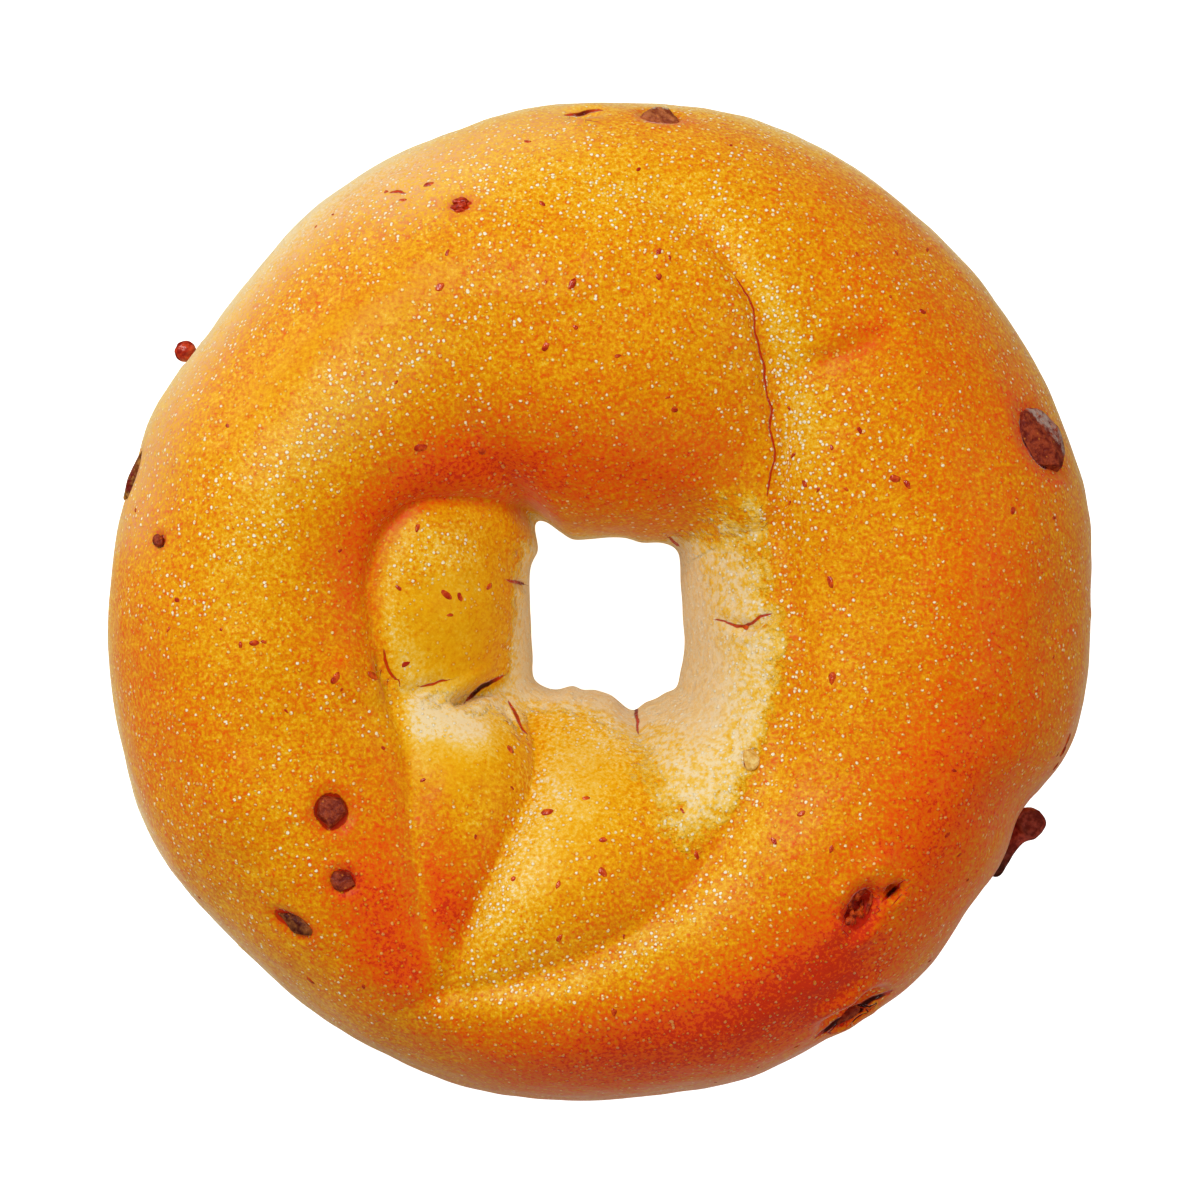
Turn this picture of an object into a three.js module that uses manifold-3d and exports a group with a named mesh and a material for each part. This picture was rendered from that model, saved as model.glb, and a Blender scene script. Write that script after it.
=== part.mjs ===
// A twisted bagel with chopped nut and fruit pieces baked into its crust.
//
// The dough is one piece: a ring that was rolled, twisted and joined, so that its top shows where
// one strand laps over the other and where smaller lobes swelled into the hole. The pieces in the
// crust are separate solids, each sitting in a pocket of its own.
//
// Millimetres, +Z up. The origin is on the flat underside, at the centre of the ring's outline.
// "turn" is the angle around the ring from +X, and "around" is the angle around its section:
// 0 is the outermost line, 90 the crest, 180 the wall of the hole and 270 the underside.

import * as THREE from "three";
import { mergeVertices } from "three/addons/utils/BufferGeometryUtils.js";
import Module from "manifold-3d";

const wasm = await Module();
wasm.setup();

// ---------------------------------------------------------------- driving dimensions

const MEAN_RADIUS = 52; // outline, at the waist
const WAIST_HEIGHT = 16; // where the ring is widest and its hole narrowest
const HOLE = { x: 0.8, y: -1.8, halfWidth: 8.1, squareness: 4.2, lean: 2 };
const UNDERSIDE_SINK = 2; // how far the round underside was pressed flat by the tray
const TURN_STEPS = 96;
const AROUND_STEPS = 40;
const CREASE_ROUNDING = 1.8; // a coarse mesh can't hold a sharper valley
const GAP = 0.35; // between a baked-in piece and its pocket

const SLOTS = {
  crust: { color: 0xd98a26, roughness: 0.45, metalness: 0 },
  nut: { color: 0x7a3a22, roughness: 0.55, metalness: 0 },
  fruit: { color: 0x6e2018, roughness: 0.3, metalness: 0 },
};

// ---------------------------------------------------------------- outline of the ring

// Swells and hollows of the outline and of the hole: where [deg], how much [mm], how wide [deg].
const OUTLINE_SWELLS = [
  [0, -0.35, 9],
  [66, 0.9, 16],
  [90, 0.4, 9],
  [117, -0.4, 9],
  [141, -2.4, 17],
  [165, -0.4, 4],
  [170, -0.9, 12],
  [210, 1.4, 14],
  [240, 0.5, 9],
  [256, 0.9, 15],
  [288, 0.5, 8],
  [321, -1.4, 7],
  [333, -2.6, 6.5],
];
const HOLE_CORNERS = [
  [43, 0.5, 9],
  [65, -0.5, 9],
  [126, 2.9, 6.5],
  [220, 0.4, 7],
  [243, -0.9, 8],
  [258, -0.4, 8],
  [285, 1.8, 9],
  [300, 0.9, 9],
  [314, 0.6, 6],
];

// The section's crest as it runs around the ring: [deg, mm].
const CREST_RADIUS = [
  [0, 34],
  [45, 33],
  [90, 30],
  [135, 32],
  [180, 35],
  [225, 37.5],
  [270, 41],
  [315, 38],
];
const CREST_HEIGHT = [
  [0, 37.2],
  [45, 37],
  [90, 38],
  [135, 37.5],
  [180, 37],
  [225, 36.5],
  [270, 36],
  [315, 37],
];
// How full the side towards the hole is: 2 is an ellipse, more is boxier.
const INNER_FULLNESS = [
  [0, 2.3],
  [90, 2.5],
  [180, 1.9],
  [270, 1.9],
];
const OUTER_FULLNESS = 2.1;
const UNDERSIDE_FULLNESS = 2.3;

// ---------------------------------------------------------------- folds and lobes of the top

// Each fold is a valley along a curve [x, y, depth], with its own width on the left and on the
// right of the way it runs.
const FOLDS = [
  {
    name: "end of the top strand, lapped over the right strand",
    path: [
      [-10.4, 44.6, 0],
      [-3.1, 44.3, 0.5],
      [5.3, 42.5, 1.0],
      [12.1, 37.2, 1.6],
      [16, 30.4, 2.4],
      [18.1, 23.6, 3.2],
      [18.5, 17.8, 3.6],
      [17.9, 12.5, 3.4],
      [16.5, 7.3, 2.8],
      [12.5, 5.4, 2],
    ],
    left: 6,
    right: 4,
  },
  {
    name: "diagonal fold from the corner of the hole",
    path: [
      [-7.2, -9.5, 1.5],
      [-6.2, -13.7, 2.5],
      [-6.9, -19, 3],
      [-10.2, -26.3, 3],
      [-13.6, -33.7, 2.6],
      [-16, -40.5, 1.5],
      [-17.8, -43, 0],
    ],
    left: 4,
    right: 3.5,
  },
  {
    name: "inner edge of the left strand",
    path: [
      [-6.2, 8.2, 1.5],
      [-9.4, 8.8, 3],
      [-13, 9.4, 4],
      [-16.5, 9.6, 4],
      [-19.3, 8.6, 4.2],
      [-21.6, 6, 4],
      [-22.8, 2, 3.4],
      [-22.6, -3, 2.8],
      [-21.4, -8.4, 2.2],
      [-20, -13.7, 2],
      [-19.3, -20, 2],
      [-18.9, -26.3, 1.6],
      [-18.2, -33.7, 1],
      [-16.9, -40.5, 0],
    ],
    left: 5,
    right: 3.5,
  },
  {
    name: "pinch between the two lobes left of the hole",
    path: [
      [-22.5, -8.5, 0],
      [-17.8, -9.3, 1.6],
      [-13.6, -9.7, 2.2],
      [-9.4, -8.5, 2.2],
      [-7.5, -7.6, 1.2],
    ],
    left: 3,
    right: 2.5,
  },
  {
    name: "inner edge of the right strand",
    path: [
      [-19.4, -42.4, 0.6],
      [-15.7, -41.3, 1.6],
      [-8.3, -39.4, 2.2],
      [-0.5, -36.3, 2.4],
      [5.3, -32.6, 2.2],
      [9.5, -28.4, 1.8],
      [13.2, -23.7, 1.2],
      [16.9, -18.4, 0.9],
      [19.4, -11.6, 0.8],
      [20.2, -5.3, 0.9],
      [19.2, 1, 1],
      [18, 5.7, 1],
    ],
    left: 4,
    right: 5,
  },
  {
    name: "short groove across the right strand",
    path: [
      [20, 23.9, 0.4],
      [24.2, 25.4, 1.2],
      [28.4, 27.2, 0.8],
      [31.6, 29.1, 0],
    ],
    left: 2.5,
    right: 5,
  },
];

// Lobes that swelled above the ring's plain form: [x, y, height, radius].
const LOBES = [
  [6.4, 21, 1.6, 13],
  [-15.7, 1, 2.5, 8],
  [-14.1, -17.9, 2, 7],
  [-1.5, -27.4, 2.5, 10],
];

// ---------------------------------------------------------------- pieces baked into the crust

// Where each piece sits, its length along the ring, width across it and thickness, how it is spun
// on the surface [deg], and the share of its thickness that stands proud. The stalk also leans
// away from the crust, by "lean" [deg].
const PIECES = [
  { name: "nut_piece_right", form: "nugget", slot: "nut", turn: 19.5, around: 39, size: [7.6, 6, 4], spin: 14, proud: 0.34 },
  { name: "nut_piece_top", form: "nugget", slot: "nut", turn: 83.3, around: 21, size: [4.2, 3.2, 3], spin: 0, proud: 0.34 },
  { name: "nut_piece_lower_left", form: "nugget", slot: "nut", turn: 218, around: 94.5, size: [4, 3.5, 3], spin: -28, proud: 0.25 },
  { name: "nut_piece_lower_left_small", form: "nugget", slot: "nut", turn: 227.5, around: 85.5, size: [2.6, 2.6, 2.4], spin: 0, proud: 0.28 },
  { name: "nut_sliver_lower_left", form: "nugget", slot: "nut", turn: 226.5, around: 62, size: [4.6, 1.9, 2.2], spin: 18, proud: 0.3 },
  { name: "nut_sliver_left_edge", form: "nugget", slot: "nut", turn: 165.2, around: 16, size: [5.9, 2, 2.2], spin: 4, proud: 0.46 },
  { name: "nut_piece_in_tear", form: "nugget", slot: "nut", turn: 310, around: 80, size: [3.8, 2.6, 2.4], spin: 12, proud: 0.2 },
  { name: "nut_piece_in_slit", form: "nugget", slot: "nut", turn: 301, around: 26, size: [4.4, 2, 2.6], spin: 0, proud: 0.14 },
  { name: "nut_crumb_left", form: "nugget", slot: "nut", turn: 172.5, around: 52, size: [1.6, 1.5, 1.6], spin: 0, proud: 0.35 },
  { name: "nut_crumb_by_hole", form: "nugget", slot: "nut", turn: 314.5, around: 133.5, size: [2.4, 1.8, 1.7], spin: 60, proud: 0.35 },
  { name: "fruit_crumb_top", form: "nugget", slot: "fruit", turn: 109.5, around: 54.5, size: [2.3, 1.7, 1.7], spin: -12, proud: 0.35 },
  { name: "fruit_bead", form: "bead", slot: "fruit", turn: 149, around: 3, size: [2.4, 2.4, 2.6], spin: 0, proud: 0.7 },
  { name: "fruit_stalk", form: "stalk", slot: "fruit", turn: 329.6, around: 6, size: [8.2, 3.4, 3.4], spin: -4, lean: -16, proud: 0.76 },
];

// ---------------------------------------------------------------- small helpers

const DEG = Math.PI / 180;

function smoothstep(low, high, x) {
  const t = Math.min(1, Math.max(0, (x - low) / (high - low)));
  return t * t * (3 - 2 * t);
}

// The smallest difference between two angles, in degrees.
function apart(a, b) {
  return ((((a - b) % 360) + 540) % 360) - 180;
}

function swells(list, deg) {
  return list.reduce((sum, [at, amount, spread]) => sum + amount * Math.exp(-((apart(deg, at) / spread) ** 2)), 0);
}

// A smooth closed course through [deg, value] keys.
function course(keys, deg) {
  const at = ((deg % 360) + 360) % 360;
  const n = keys.length;
  const next = keys.findIndex(([angle]) => angle > at);
  const i = ((next < 0 ? n : next) - 1 + n) % n;
  const [a, va] = keys[i];
  const [b, vb] = keys[(i + 1) % n];
  const span = (b - a + 360) % 360;
  const t = smoothstep(0, 1, ((at - a + 360) % 360) / span);
  return va + (vb - va) * t;
}

// Folds as short straight stretches of a smooth curve, worked out once.
const STRETCHES = FOLDS.map(({ path, left, right }) => {
  const curve = new THREE.CatmullRomCurve3(path.map((p) => new THREE.Vector3(...p)));
  return { points: curve.getPoints(path.length * 3), left, right };
});

// Height that one fold adds at (x, y).
function foldHeight({ points, left, right }, x, y) {
  let best = Infinity;
  let height = 0;
  for (let i = 0; i + 1 < points.length; i++) {
    const a = points[i];
    const b = points[i + 1];
    const dx = b.x - a.x;
    const dy = b.y - a.y;
    const t = Math.min(1, Math.max(0, ((x - a.x) * dx + (y - a.y) * dy) / (dx * dx + dy * dy)));
    const away = Math.hypot(x - a.x - t * dx, y - a.y - t * dy);
    if (away < best) {
      best = away;
      const side = dx * (y - a.y) - dy * (x - a.x);
      const depth = a.z + (b.z - a.z) * t;
      const soft = Math.hypot(away, CREASE_ROUNDING) - CREASE_ROUNDING;
      height = -depth * Math.exp(-soft / (side > 0 ? left : right));
    }
  }
  return height;
}

// ---------------------------------------------------------------- the dough's surface

function holeRadius(deg) {
  const a = (deg - HOLE.lean) * DEG;
  const n = HOLE.squareness;
  const square = HOLE.halfWidth / (Math.abs(Math.cos(a)) ** n + Math.abs(Math.sin(a)) ** n) ** (1 / n);
  return square + swells(HOLE_CORNERS, deg);
}

function reliefAt(x, y) {
  const folds = STRETCHES.reduce((sum, fold) => sum + foldHeight(fold, x, y), 0);
  const lobes = LOBES.reduce((sum, [lx, ly, h, r]) => sum + h * Math.exp(-((x - lx) ** 2 + (y - ly) ** 2) / (r * r)), 0);
  return folds + lobes;
}

function doughPoint(turn, around) {
  const c = Math.cos(around * DEG);
  const s = Math.sin(around * DEG);
  const inward = c < 0;
  const crest = course(CREST_RADIUS, turn);
  const outerHalf = MEAN_RADIUS + swells(OUTLINE_SWELLS, turn) - crest;
  const innerHalf = crest - holeRadius(turn);
  const upper = course(CREST_HEIGHT, turn) - WAIST_HEIGHT;
  const lower = WAIST_HEIGHT + UNDERSIDE_SINK;
  const fullness = s < 0 ? UNDERSIDE_FULLNESS : inward ? course(INNER_FULLNESS, turn) : OUTER_FULLNESS;
  const half = inward ? innerHalf : outerHalf;
  const rise = s < 0 ? lower : upper;
  let reach = (Math.abs(c / half) ** fullness + Math.abs(s / rise) ** fullness) ** (-1 / fullness);
  const cosTurn = Math.cos(turn * DEG);
  const sinTurn = Math.sin(turn * DEG);
  const shift = inward ? Math.min(1, (-c * reach) / innerHalf) : 0; // 1 at the wall of the hole
  const centreX = HOLE.x * shift;
  const centreY = HOLE.y * shift;
  if (s > 0) {
    const r = crest + c * reach;
    const fade = smoothstep(0.05, 0.4, s);
    reach += fade * reliefAt(centreX + r * cosTurn, centreY + r * sinTurn);
  }
  const radius = crest + c * reach;
  const z = Math.max(0, WAIST_HEIGHT + s * reach);
  return new THREE.Vector3(centreX + radius * cosTurn, centreY + radius * sinTurn, z);
}

// ---------------------------------------------------------------- meshes and solids

function merged(geometry) {
  const bare = geometry.clone();
  bare.deleteAttribute("normal");
  bare.deleteAttribute("uv");
  return mergeVertices(bare, 1e-4);
}

function toSolid(geometry) {
  const closed = merged(geometry);
  return new wasm.Manifold(
    new wasm.Mesh({
      numProp: 3,
      vertProperties: new Float32Array(closed.attributes.position.array),
      triVerts: new Uint32Array(closed.index.array),
    }),
  );
}

function toGeometry(solid) {
  const mesh = solid.getMesh();
  return new THREE.BufferGeometry()
    .setAttribute("position", new THREE.BufferAttribute(mesh.vertProperties, 3))
    .setIndex(new THREE.BufferAttribute(mesh.triVerts, 1));
}

// The dough as a ring of TorusGeometry whose vertices are moved to the dough's surface.
function doughGeometry() {
  const geometry = new THREE.TorusGeometry(MEAN_RADIUS / 2, WAIST_HEIGHT, AROUND_STEPS, TURN_STEPS);
  const { position, uv } = geometry.attributes;
  for (let i = 0; i < position.count; i++) {
    const turn = (Math.round(uv.getX(i) * TURN_STEPS) % TURN_STEPS) * (360 / TURN_STEPS);
    const around = (Math.round(uv.getY(i) * AROUND_STEPS) % AROUND_STEPS) * (360 / AROUND_STEPS);
    position.setXYZ(i, ...doughPoint(turn, around));
  }
  return geometry;
}

// ---------------------------------------------------------------- shapes of the baked-in pieces

// A broken lump: an icosahedron whose corners are pushed in and out by a repeatable amount.
function nuggetGeometry() {
  const geometry = merged(new THREE.IcosahedronGeometry(0.5, 1));
  const { position } = geometry.attributes;
  const corner = new THREE.Vector3();
  for (let i = 0; i < position.count; i++) {
    corner.fromBufferAttribute(position, i);
    const push = Math.sin(23 * corner.x + 41 * corner.y + 59 * corner.z);
    corner.multiplyScalar(0.95 + 0.07 * push);
    position.setXYZ(i, ...corner);
  }
  return geometry;
}

function beadGeometry() {
  return new THREE.IcosahedronGeometry(0.5, 2);
}

// A stem that swells into a round head, lying along X.
function stalkGeometry() {
  const outline = new THREE.CatmullRomCurve3([
    new THREE.Vector3(0, -0.5, 0),
    new THREE.Vector3(0.26, -0.46, 0),
    new THREE.Vector3(0.27, -0.2, 0),
    new THREE.Vector3(0.24, 0.08, 0),
    new THREE.Vector3(0.42, 0.22, 0),
    new THREE.Vector3(0.5, 0.34, 0),
    new THREE.Vector3(0.36, 0.46, 0),
    new THREE.Vector3(0, 0.5, 0),
  ]);
  const profile = outline.getPoints(14).map((p) => new THREE.Vector2(Math.max(0, p.x), p.y));
  profile[0].x = 0;
  profile[profile.length - 1].x = 0;
  return new THREE.LatheGeometry(profile, 12).rotateZ(-Math.PI / 2);
}

const FORMS = { nugget: nuggetGeometry, bead: beadGeometry, stalk: stalkGeometry };

// The dough's surface at a piece: where it is, and which ways are along the ring and outwards.
function surfaceFrame(turn, around) {
  const here = doughPoint(turn, around);
  const along = doughPoint(turn + 1, around).sub(doughPoint(turn - 1, around)).normalize();
  const across = doughPoint(turn, around + 2).sub(doughPoint(turn, around - 2));
  const outwards = along.clone().cross(across).normalize();
  return { here, along, outwards };
}

// Turns and places a unit shape of the given size as its piece lies in the crust.
function placed(geometry, { turn, around, size, spin, lean = 0, proud }, margin) {
  const { here, along, outwards } = surfaceFrame(turn, around);
  const across = outwards.clone().cross(along);
  const middle = here.addScaledVector(outwards, (proud - 0.5) * size[2]);
  const matrix = new THREE.Matrix4()
    .makeBasis(along, across, outwards)
    .multiply(new THREE.Matrix4().makeRotationZ(spin * DEG))
    .multiply(new THREE.Matrix4().makeRotationY(lean * DEG))
    .scale(new THREE.Vector3(...size.map((length) => length + 2 * margin)));
  return geometry.applyMatrix4(matrix).translate(middle.x, middle.y, middle.z);
}

function pieceGeometry(piece, margin = 0) {
  return placed(FORMS[piece.form](), piece, margin);
}

// ---------------------------------------------------------------- the bagel

function makeMesh(name, geometry, slot) {
  const mesh = new THREE.Mesh(geometry, new THREE.MeshStandardMaterial(SLOTS[slot]));
  mesh.name = name;
  return mesh;
}

const bagel = new THREE.Group();

const pocketed = PIECES.reduce(
  (dough, piece) => dough.subtract(toSolid(pieceGeometry(piece, GAP))),
  toSolid(doughGeometry()),
);
bagel.add(makeMesh("dough_ring", toGeometry(pocketed), "crust"));
for (const piece of PIECES) {
  bagel.add(makeMesh(piece.name, pieceGeometry(piece), piece.slot));
}

export default bagel;
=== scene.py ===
# %% [markdown]
# # A twisted bagel, from a plain ring to a glossy crust
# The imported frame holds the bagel's real size: a ring of dough and the chopped pieces baked into it.
# This lesson gives each of them its finished surface. The dough comes first, because everything
# else sits in it, then its colours, then the pieces of nut and fruit, then the studio.

# %% Load the frame
import math

import bmesh
import bpy
import numpy as np
from mathutils import Matrix, Vector, noise


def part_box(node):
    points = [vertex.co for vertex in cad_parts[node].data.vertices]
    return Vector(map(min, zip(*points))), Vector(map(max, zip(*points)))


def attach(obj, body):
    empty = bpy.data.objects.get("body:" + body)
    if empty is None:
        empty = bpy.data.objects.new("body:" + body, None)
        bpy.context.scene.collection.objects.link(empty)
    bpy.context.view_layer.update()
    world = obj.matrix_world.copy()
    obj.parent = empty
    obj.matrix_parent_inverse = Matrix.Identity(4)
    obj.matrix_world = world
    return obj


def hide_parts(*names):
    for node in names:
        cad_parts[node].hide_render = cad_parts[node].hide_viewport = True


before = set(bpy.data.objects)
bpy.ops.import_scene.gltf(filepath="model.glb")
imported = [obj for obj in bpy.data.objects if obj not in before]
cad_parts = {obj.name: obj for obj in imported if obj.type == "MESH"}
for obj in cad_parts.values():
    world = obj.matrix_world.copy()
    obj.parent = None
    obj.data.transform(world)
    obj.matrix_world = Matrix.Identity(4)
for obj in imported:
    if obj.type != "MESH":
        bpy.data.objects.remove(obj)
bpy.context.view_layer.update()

MM = 0.001
ring_low, ring_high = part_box("dough_ring")
print("dough ring, mm:", [round(side / MM, 1) for side in ring_high - ring_low])

# %% [markdown]
# ## The view
# The bagel lies on a white table and is seen from straight above. A long lens far away keeps the
# upright wall of the hole and the outer flank out of sight, so the outline is the ring's widest
# line. The picture's width is set by what the lens takes in at the height of that line.

# %% Camera
WAIST_HEIGHT = 16 * MM
VIEW_WIDTH = 126 * MM
CAMERA_DISTANCE = 1600 * MM
SENSOR_WIDTH = 36

camera_data = bpy.data.cameras.new("camera")
camera_data.sensor_width = SENSOR_WIDTH
camera_data.lens = SENSOR_WIDTH * CAMERA_DISTANCE / VIEW_WIDTH
camera_data.clip_start = 0.01
camera_data.clip_end = 20
camera = bpy.data.objects.new("camera", camera_data)
camera.location = (0, 0, WAIST_HEIGHT + CAMERA_DISTANCE)
bpy.context.scene.collection.objects.link(camera)
bpy.context.scene.camera = camera
print("lens, mm:", round(camera_data.lens))

# %% [markdown]
# ## Helpers for soft shapes
# Dough has no straight edge, so its sizes run smoothly around the ring. `smoothstep` fades a
# value, `swells` adds round bumps to a line, and `course` joins a few values into a closed course.

# %% Soft steps, swells and courses
def smoothstep(low, high, x):
    t = np.clip((x - low) / (high - low), 0, 1)
    return t * t * (3 - 2 * t)


def apart(a, b):
    """The smallest difference between two angles, in degrees."""
    return (a - b + 540) % 360 - 180


def swells(swell_list, degrees):
    """Adds up round bumps, each given as where [deg], how much and how wide [deg]."""
    return sum(amount * np.exp(-((apart(degrees, at) / width) ** 2)) for at, amount, width in swell_list)


def course(keys, degrees):
    """A smooth closed course through [deg, value] keys."""
    angles = np.array([key[0] for key in keys] + [keys[0][0] + 360], float)
    values = np.array([key[1] for key in keys] + [keys[0][1]], float)
    at = np.asarray(degrees) % 360
    i = np.clip(np.searchsorted(angles, at, side="right") - 1, 0, len(keys) - 1)
    t = smoothstep(0, 1, (at - angles[i]) / (angles[i + 1] - angles[i]))
    return values[i] + (values[i + 1] - values[i]) * t


# %% [markdown]
# ## The ring's section
# A section through the ring is a rounded cushion: widest at the waist, pressed flat below by the
# tray, and fuller or slimmer towards the hole. It could be lofted through drawn sections, but one
# formula, a superellipse whose sizes are courses around the ring, gives every section at once.

# %% Sizes of the ring
WAIST_RADIUS = 52 * MM
UNDERSIDE_SINK = 2 * MM
HOLE = {"x": 0.8 * MM, "y": -1.8 * MM, "half_width": 8.1 * MM, "squareness": 4.2, "lean": 2}
OUTLINE_SWELLS = [
    (0, -0.35 * MM, 9), (66, 0.9 * MM, 16), (90, 0.4 * MM, 9), (117, -0.4 * MM, 9),
    (141, -2.4 * MM, 17), (165, -0.4 * MM, 4), (170, -0.9 * MM, 12), (210, 1.4 * MM, 14),
    (240, 0.5 * MM, 9), (256, 0.9 * MM, 15), (288, 0.5 * MM, 8), (321, -1.4 * MM, 7),
    (333, -2.6 * MM, 6.5),
]
HOLE_CORNERS = [
    (43, 0.5 * MM, 9), (65, -0.5 * MM, 9), (126, 2.9 * MM, 6.5), (220, 0.4 * MM, 7),
    (243, -0.9 * MM, 8), (258, -0.4 * MM, 8), (285, 1.8 * MM, 9), (300, 0.9 * MM, 9),
    (314, 0.6 * MM, 6),
]
CREST_RADIUS = [
    (0, 34 * MM), (45, 33 * MM), (90, 30 * MM), (135, 32 * MM), (180, 35 * MM), (225, 37.5 * MM),
    (270, 41 * MM), (315, 38 * MM),
]
CREST_HEIGHT = [
    (0, 37.2 * MM), (45, 37 * MM), (90, 38 * MM), (135, 37.5 * MM), (180, 37 * MM),
    (225, 36.5 * MM), (270, 36 * MM), (315, 37 * MM),
]
INNER_FULLNESS = [(0, 2.3), (90, 2.5), (180, 1.9), (270, 1.9)]
OUTER_FULLNESS = 2.1
UNDERSIDE_FULLNESS = 2.3


def hole_radius(turn):
    a = np.radians(turn - HOLE["lean"])
    n = HOLE["squareness"]
    square = HOLE["half_width"] / (np.abs(np.cos(a)) ** n + np.abs(np.sin(a)) ** n) ** (1 / n)
    return square + swells(HOLE_CORNERS, turn)


# %% [markdown]
# ## Folds and lobes
# The ring was rolled, twisted and pinched together, and it kept the marks: valleys where one
# strand laps over the next, and lobes that swelled beside them. A fold is a curve seen from above
# with a depth at each point, and its two sides have their own widths, because the strand on top
# rolls over steeply while the one below slopes gently. Sculpting by hand would give the same
# shape, but a list of curves can be read and changed.

# %% Curves on the dough
def smooth_path(points, steps=8):
    """A Catmull-Rom curve through the points, as a list of short straight stretches."""
    p = np.array(points, float)
    p = np.vstack([2 * p[0] - p[1], p, 2 * p[-1] - p[-2]])
    t = np.arange(steps)[:, None] / steps
    stretches = [
        0.5 * (2 * b + (c - a) * t + (2 * a - 5 * b + 4 * c - d) * t**2 + (3 * b - a - 3 * c + d) * t**3)
        for a, b, c, d in zip(p[:-3], p[1:-2], p[2:-1], p[3:])
    ]
    return np.vstack(stretches + [p[-2:-1]])


def beside_path(path, x, y):
    """How far each point (x, y) is from a path, on which side of it, and the path's depth there."""
    away = np.full(np.shape(x), np.inf)
    side = np.zeros(np.shape(x))
    depth = np.zeros(np.shape(x))
    for a, b in zip(path[:-1], path[1:]):
        run = b - a
        t = np.clip(((x - a[0]) * run[0] + (y - a[1]) * run[1]) / (run[0] ** 2 + run[1] ** 2), 0, 1)
        here = np.hypot(x - a[0] - t * run[0], y - a[1] - t * run[1])
        nearer = here < away
        away = np.where(nearer, here, away)
        side = np.where(nearer, np.sign(run[0] * (y - a[1]) - run[1] * (x - a[0])), side)
        depth = np.where(nearer, a[2] + run[2] * t, depth)
    return away, side, depth


# %% Folds, as [x, y, depth] in millimetres
CREASE_ROUNDING = 0.25 * MM
FOLDS = {
    "end of the top strand": {
        "left": 6,
        "right": 4,
        "path": [
            (-10.4, 44.6, 0), (-3.1, 44.3, 0.5), (5.3, 42.5, 1.0), (12.1, 37.2, 1.6),
            (16, 30.4, 2.4), (18.1, 23.6, 3.2), (18.5, 17.8, 3.6), (17.9, 12.5, 3.4),
            (16.5, 7.3, 2.8), (12.5, 5.4, 2),
        ],
    },
    "diagonal fold from the hole": {
        "left": 4,
        "right": 3.5,
        "path": [
            (-7.2, -9.5, 1.5), (-6.2, -13.7, 2.5), (-6.9, -19, 3), (-10.2, -26.3, 3),
            (-13.6, -33.7, 2.6), (-16, -40.5, 1.5), (-17.8, -43, 0),
        ],
    },
    "inner edge of the left strand": {
        "left": 5,
        "right": 3.5,
        "path": [
            (-6.2, 8.2, 1.5), (-9.4, 8.8, 3), (-13, 9.4, 4), (-16.5, 9.6, 4), (-19.3, 8.6, 4.2),
            (-21.6, 6, 4), (-22.8, 2, 3.4), (-22.6, -3, 2.8), (-21.4, -8.4, 2.2),
            (-20, -13.7, 2), (-19.3, -20, 2), (-18.9, -26.3, 1.6), (-18.2, -33.7, 1),
            (-16.9, -40.5, 0),
        ],
    },
    "pinch left of the hole": {
        "left": 3,
        "right": 2.5,
        "path": [
            (-22.5, -8.5, 0), (-17.8, -9.3, 1.6), (-13.6, -9.7, 2.2), (-9.4, -8.5, 2.2),
            (-7.5, -7.6, 1.2),
        ],
    },
    "inner edge of the right strand": {
        "left": 4,
        "right": 5,
        "path": [
            (-19.4, -42.4, 0.6), (-15.7, -41.3, 1.6), (-8.3, -39.4, 2.2), (-0.5, -36.3, 2.4),
            (5.3, -32.6, 2.2), (9.5, -28.4, 1.8), (13.2, -23.7, 1.2), (16.9, -18.4, 0.9),
            (19.4, -11.6, 0.8), (20.2, -5.3, 0.9), (19.2, 1, 1), (18, 5.7, 1),
        ],
    },
    "dent along the left strand": {
        "left": 3,
        "right": 5,
        "path": [(-42.5, 9, 0), (-40.5, 16, 0.4), (-36.3, 24, 0.6), (-29, 31.5, 0.5), (-20, 37.5, 0)],
    },
    "short groove across the right strand": {
        "left": 2.5,
        "right": 5,
        "path": [
            (20, 23.9, 0.4), (24.2, 25.4, 1.2), (28.4, 27.2, 0.8), (31.6, 29.1, 0),
        ],
    },
}
# Each lobe: x, y, height, radius in millimetres.
LOBES = [(6.4, 21, 1.6, 13), (-15.7, 1, 2.5, 8), (-14.1, -17.9, 2, 7), (-1.5, -27.4, 2.5, 10)]

fold_paths = {name: smooth_path(fold["path"]) * MM for name, fold in FOLDS.items()}


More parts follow.
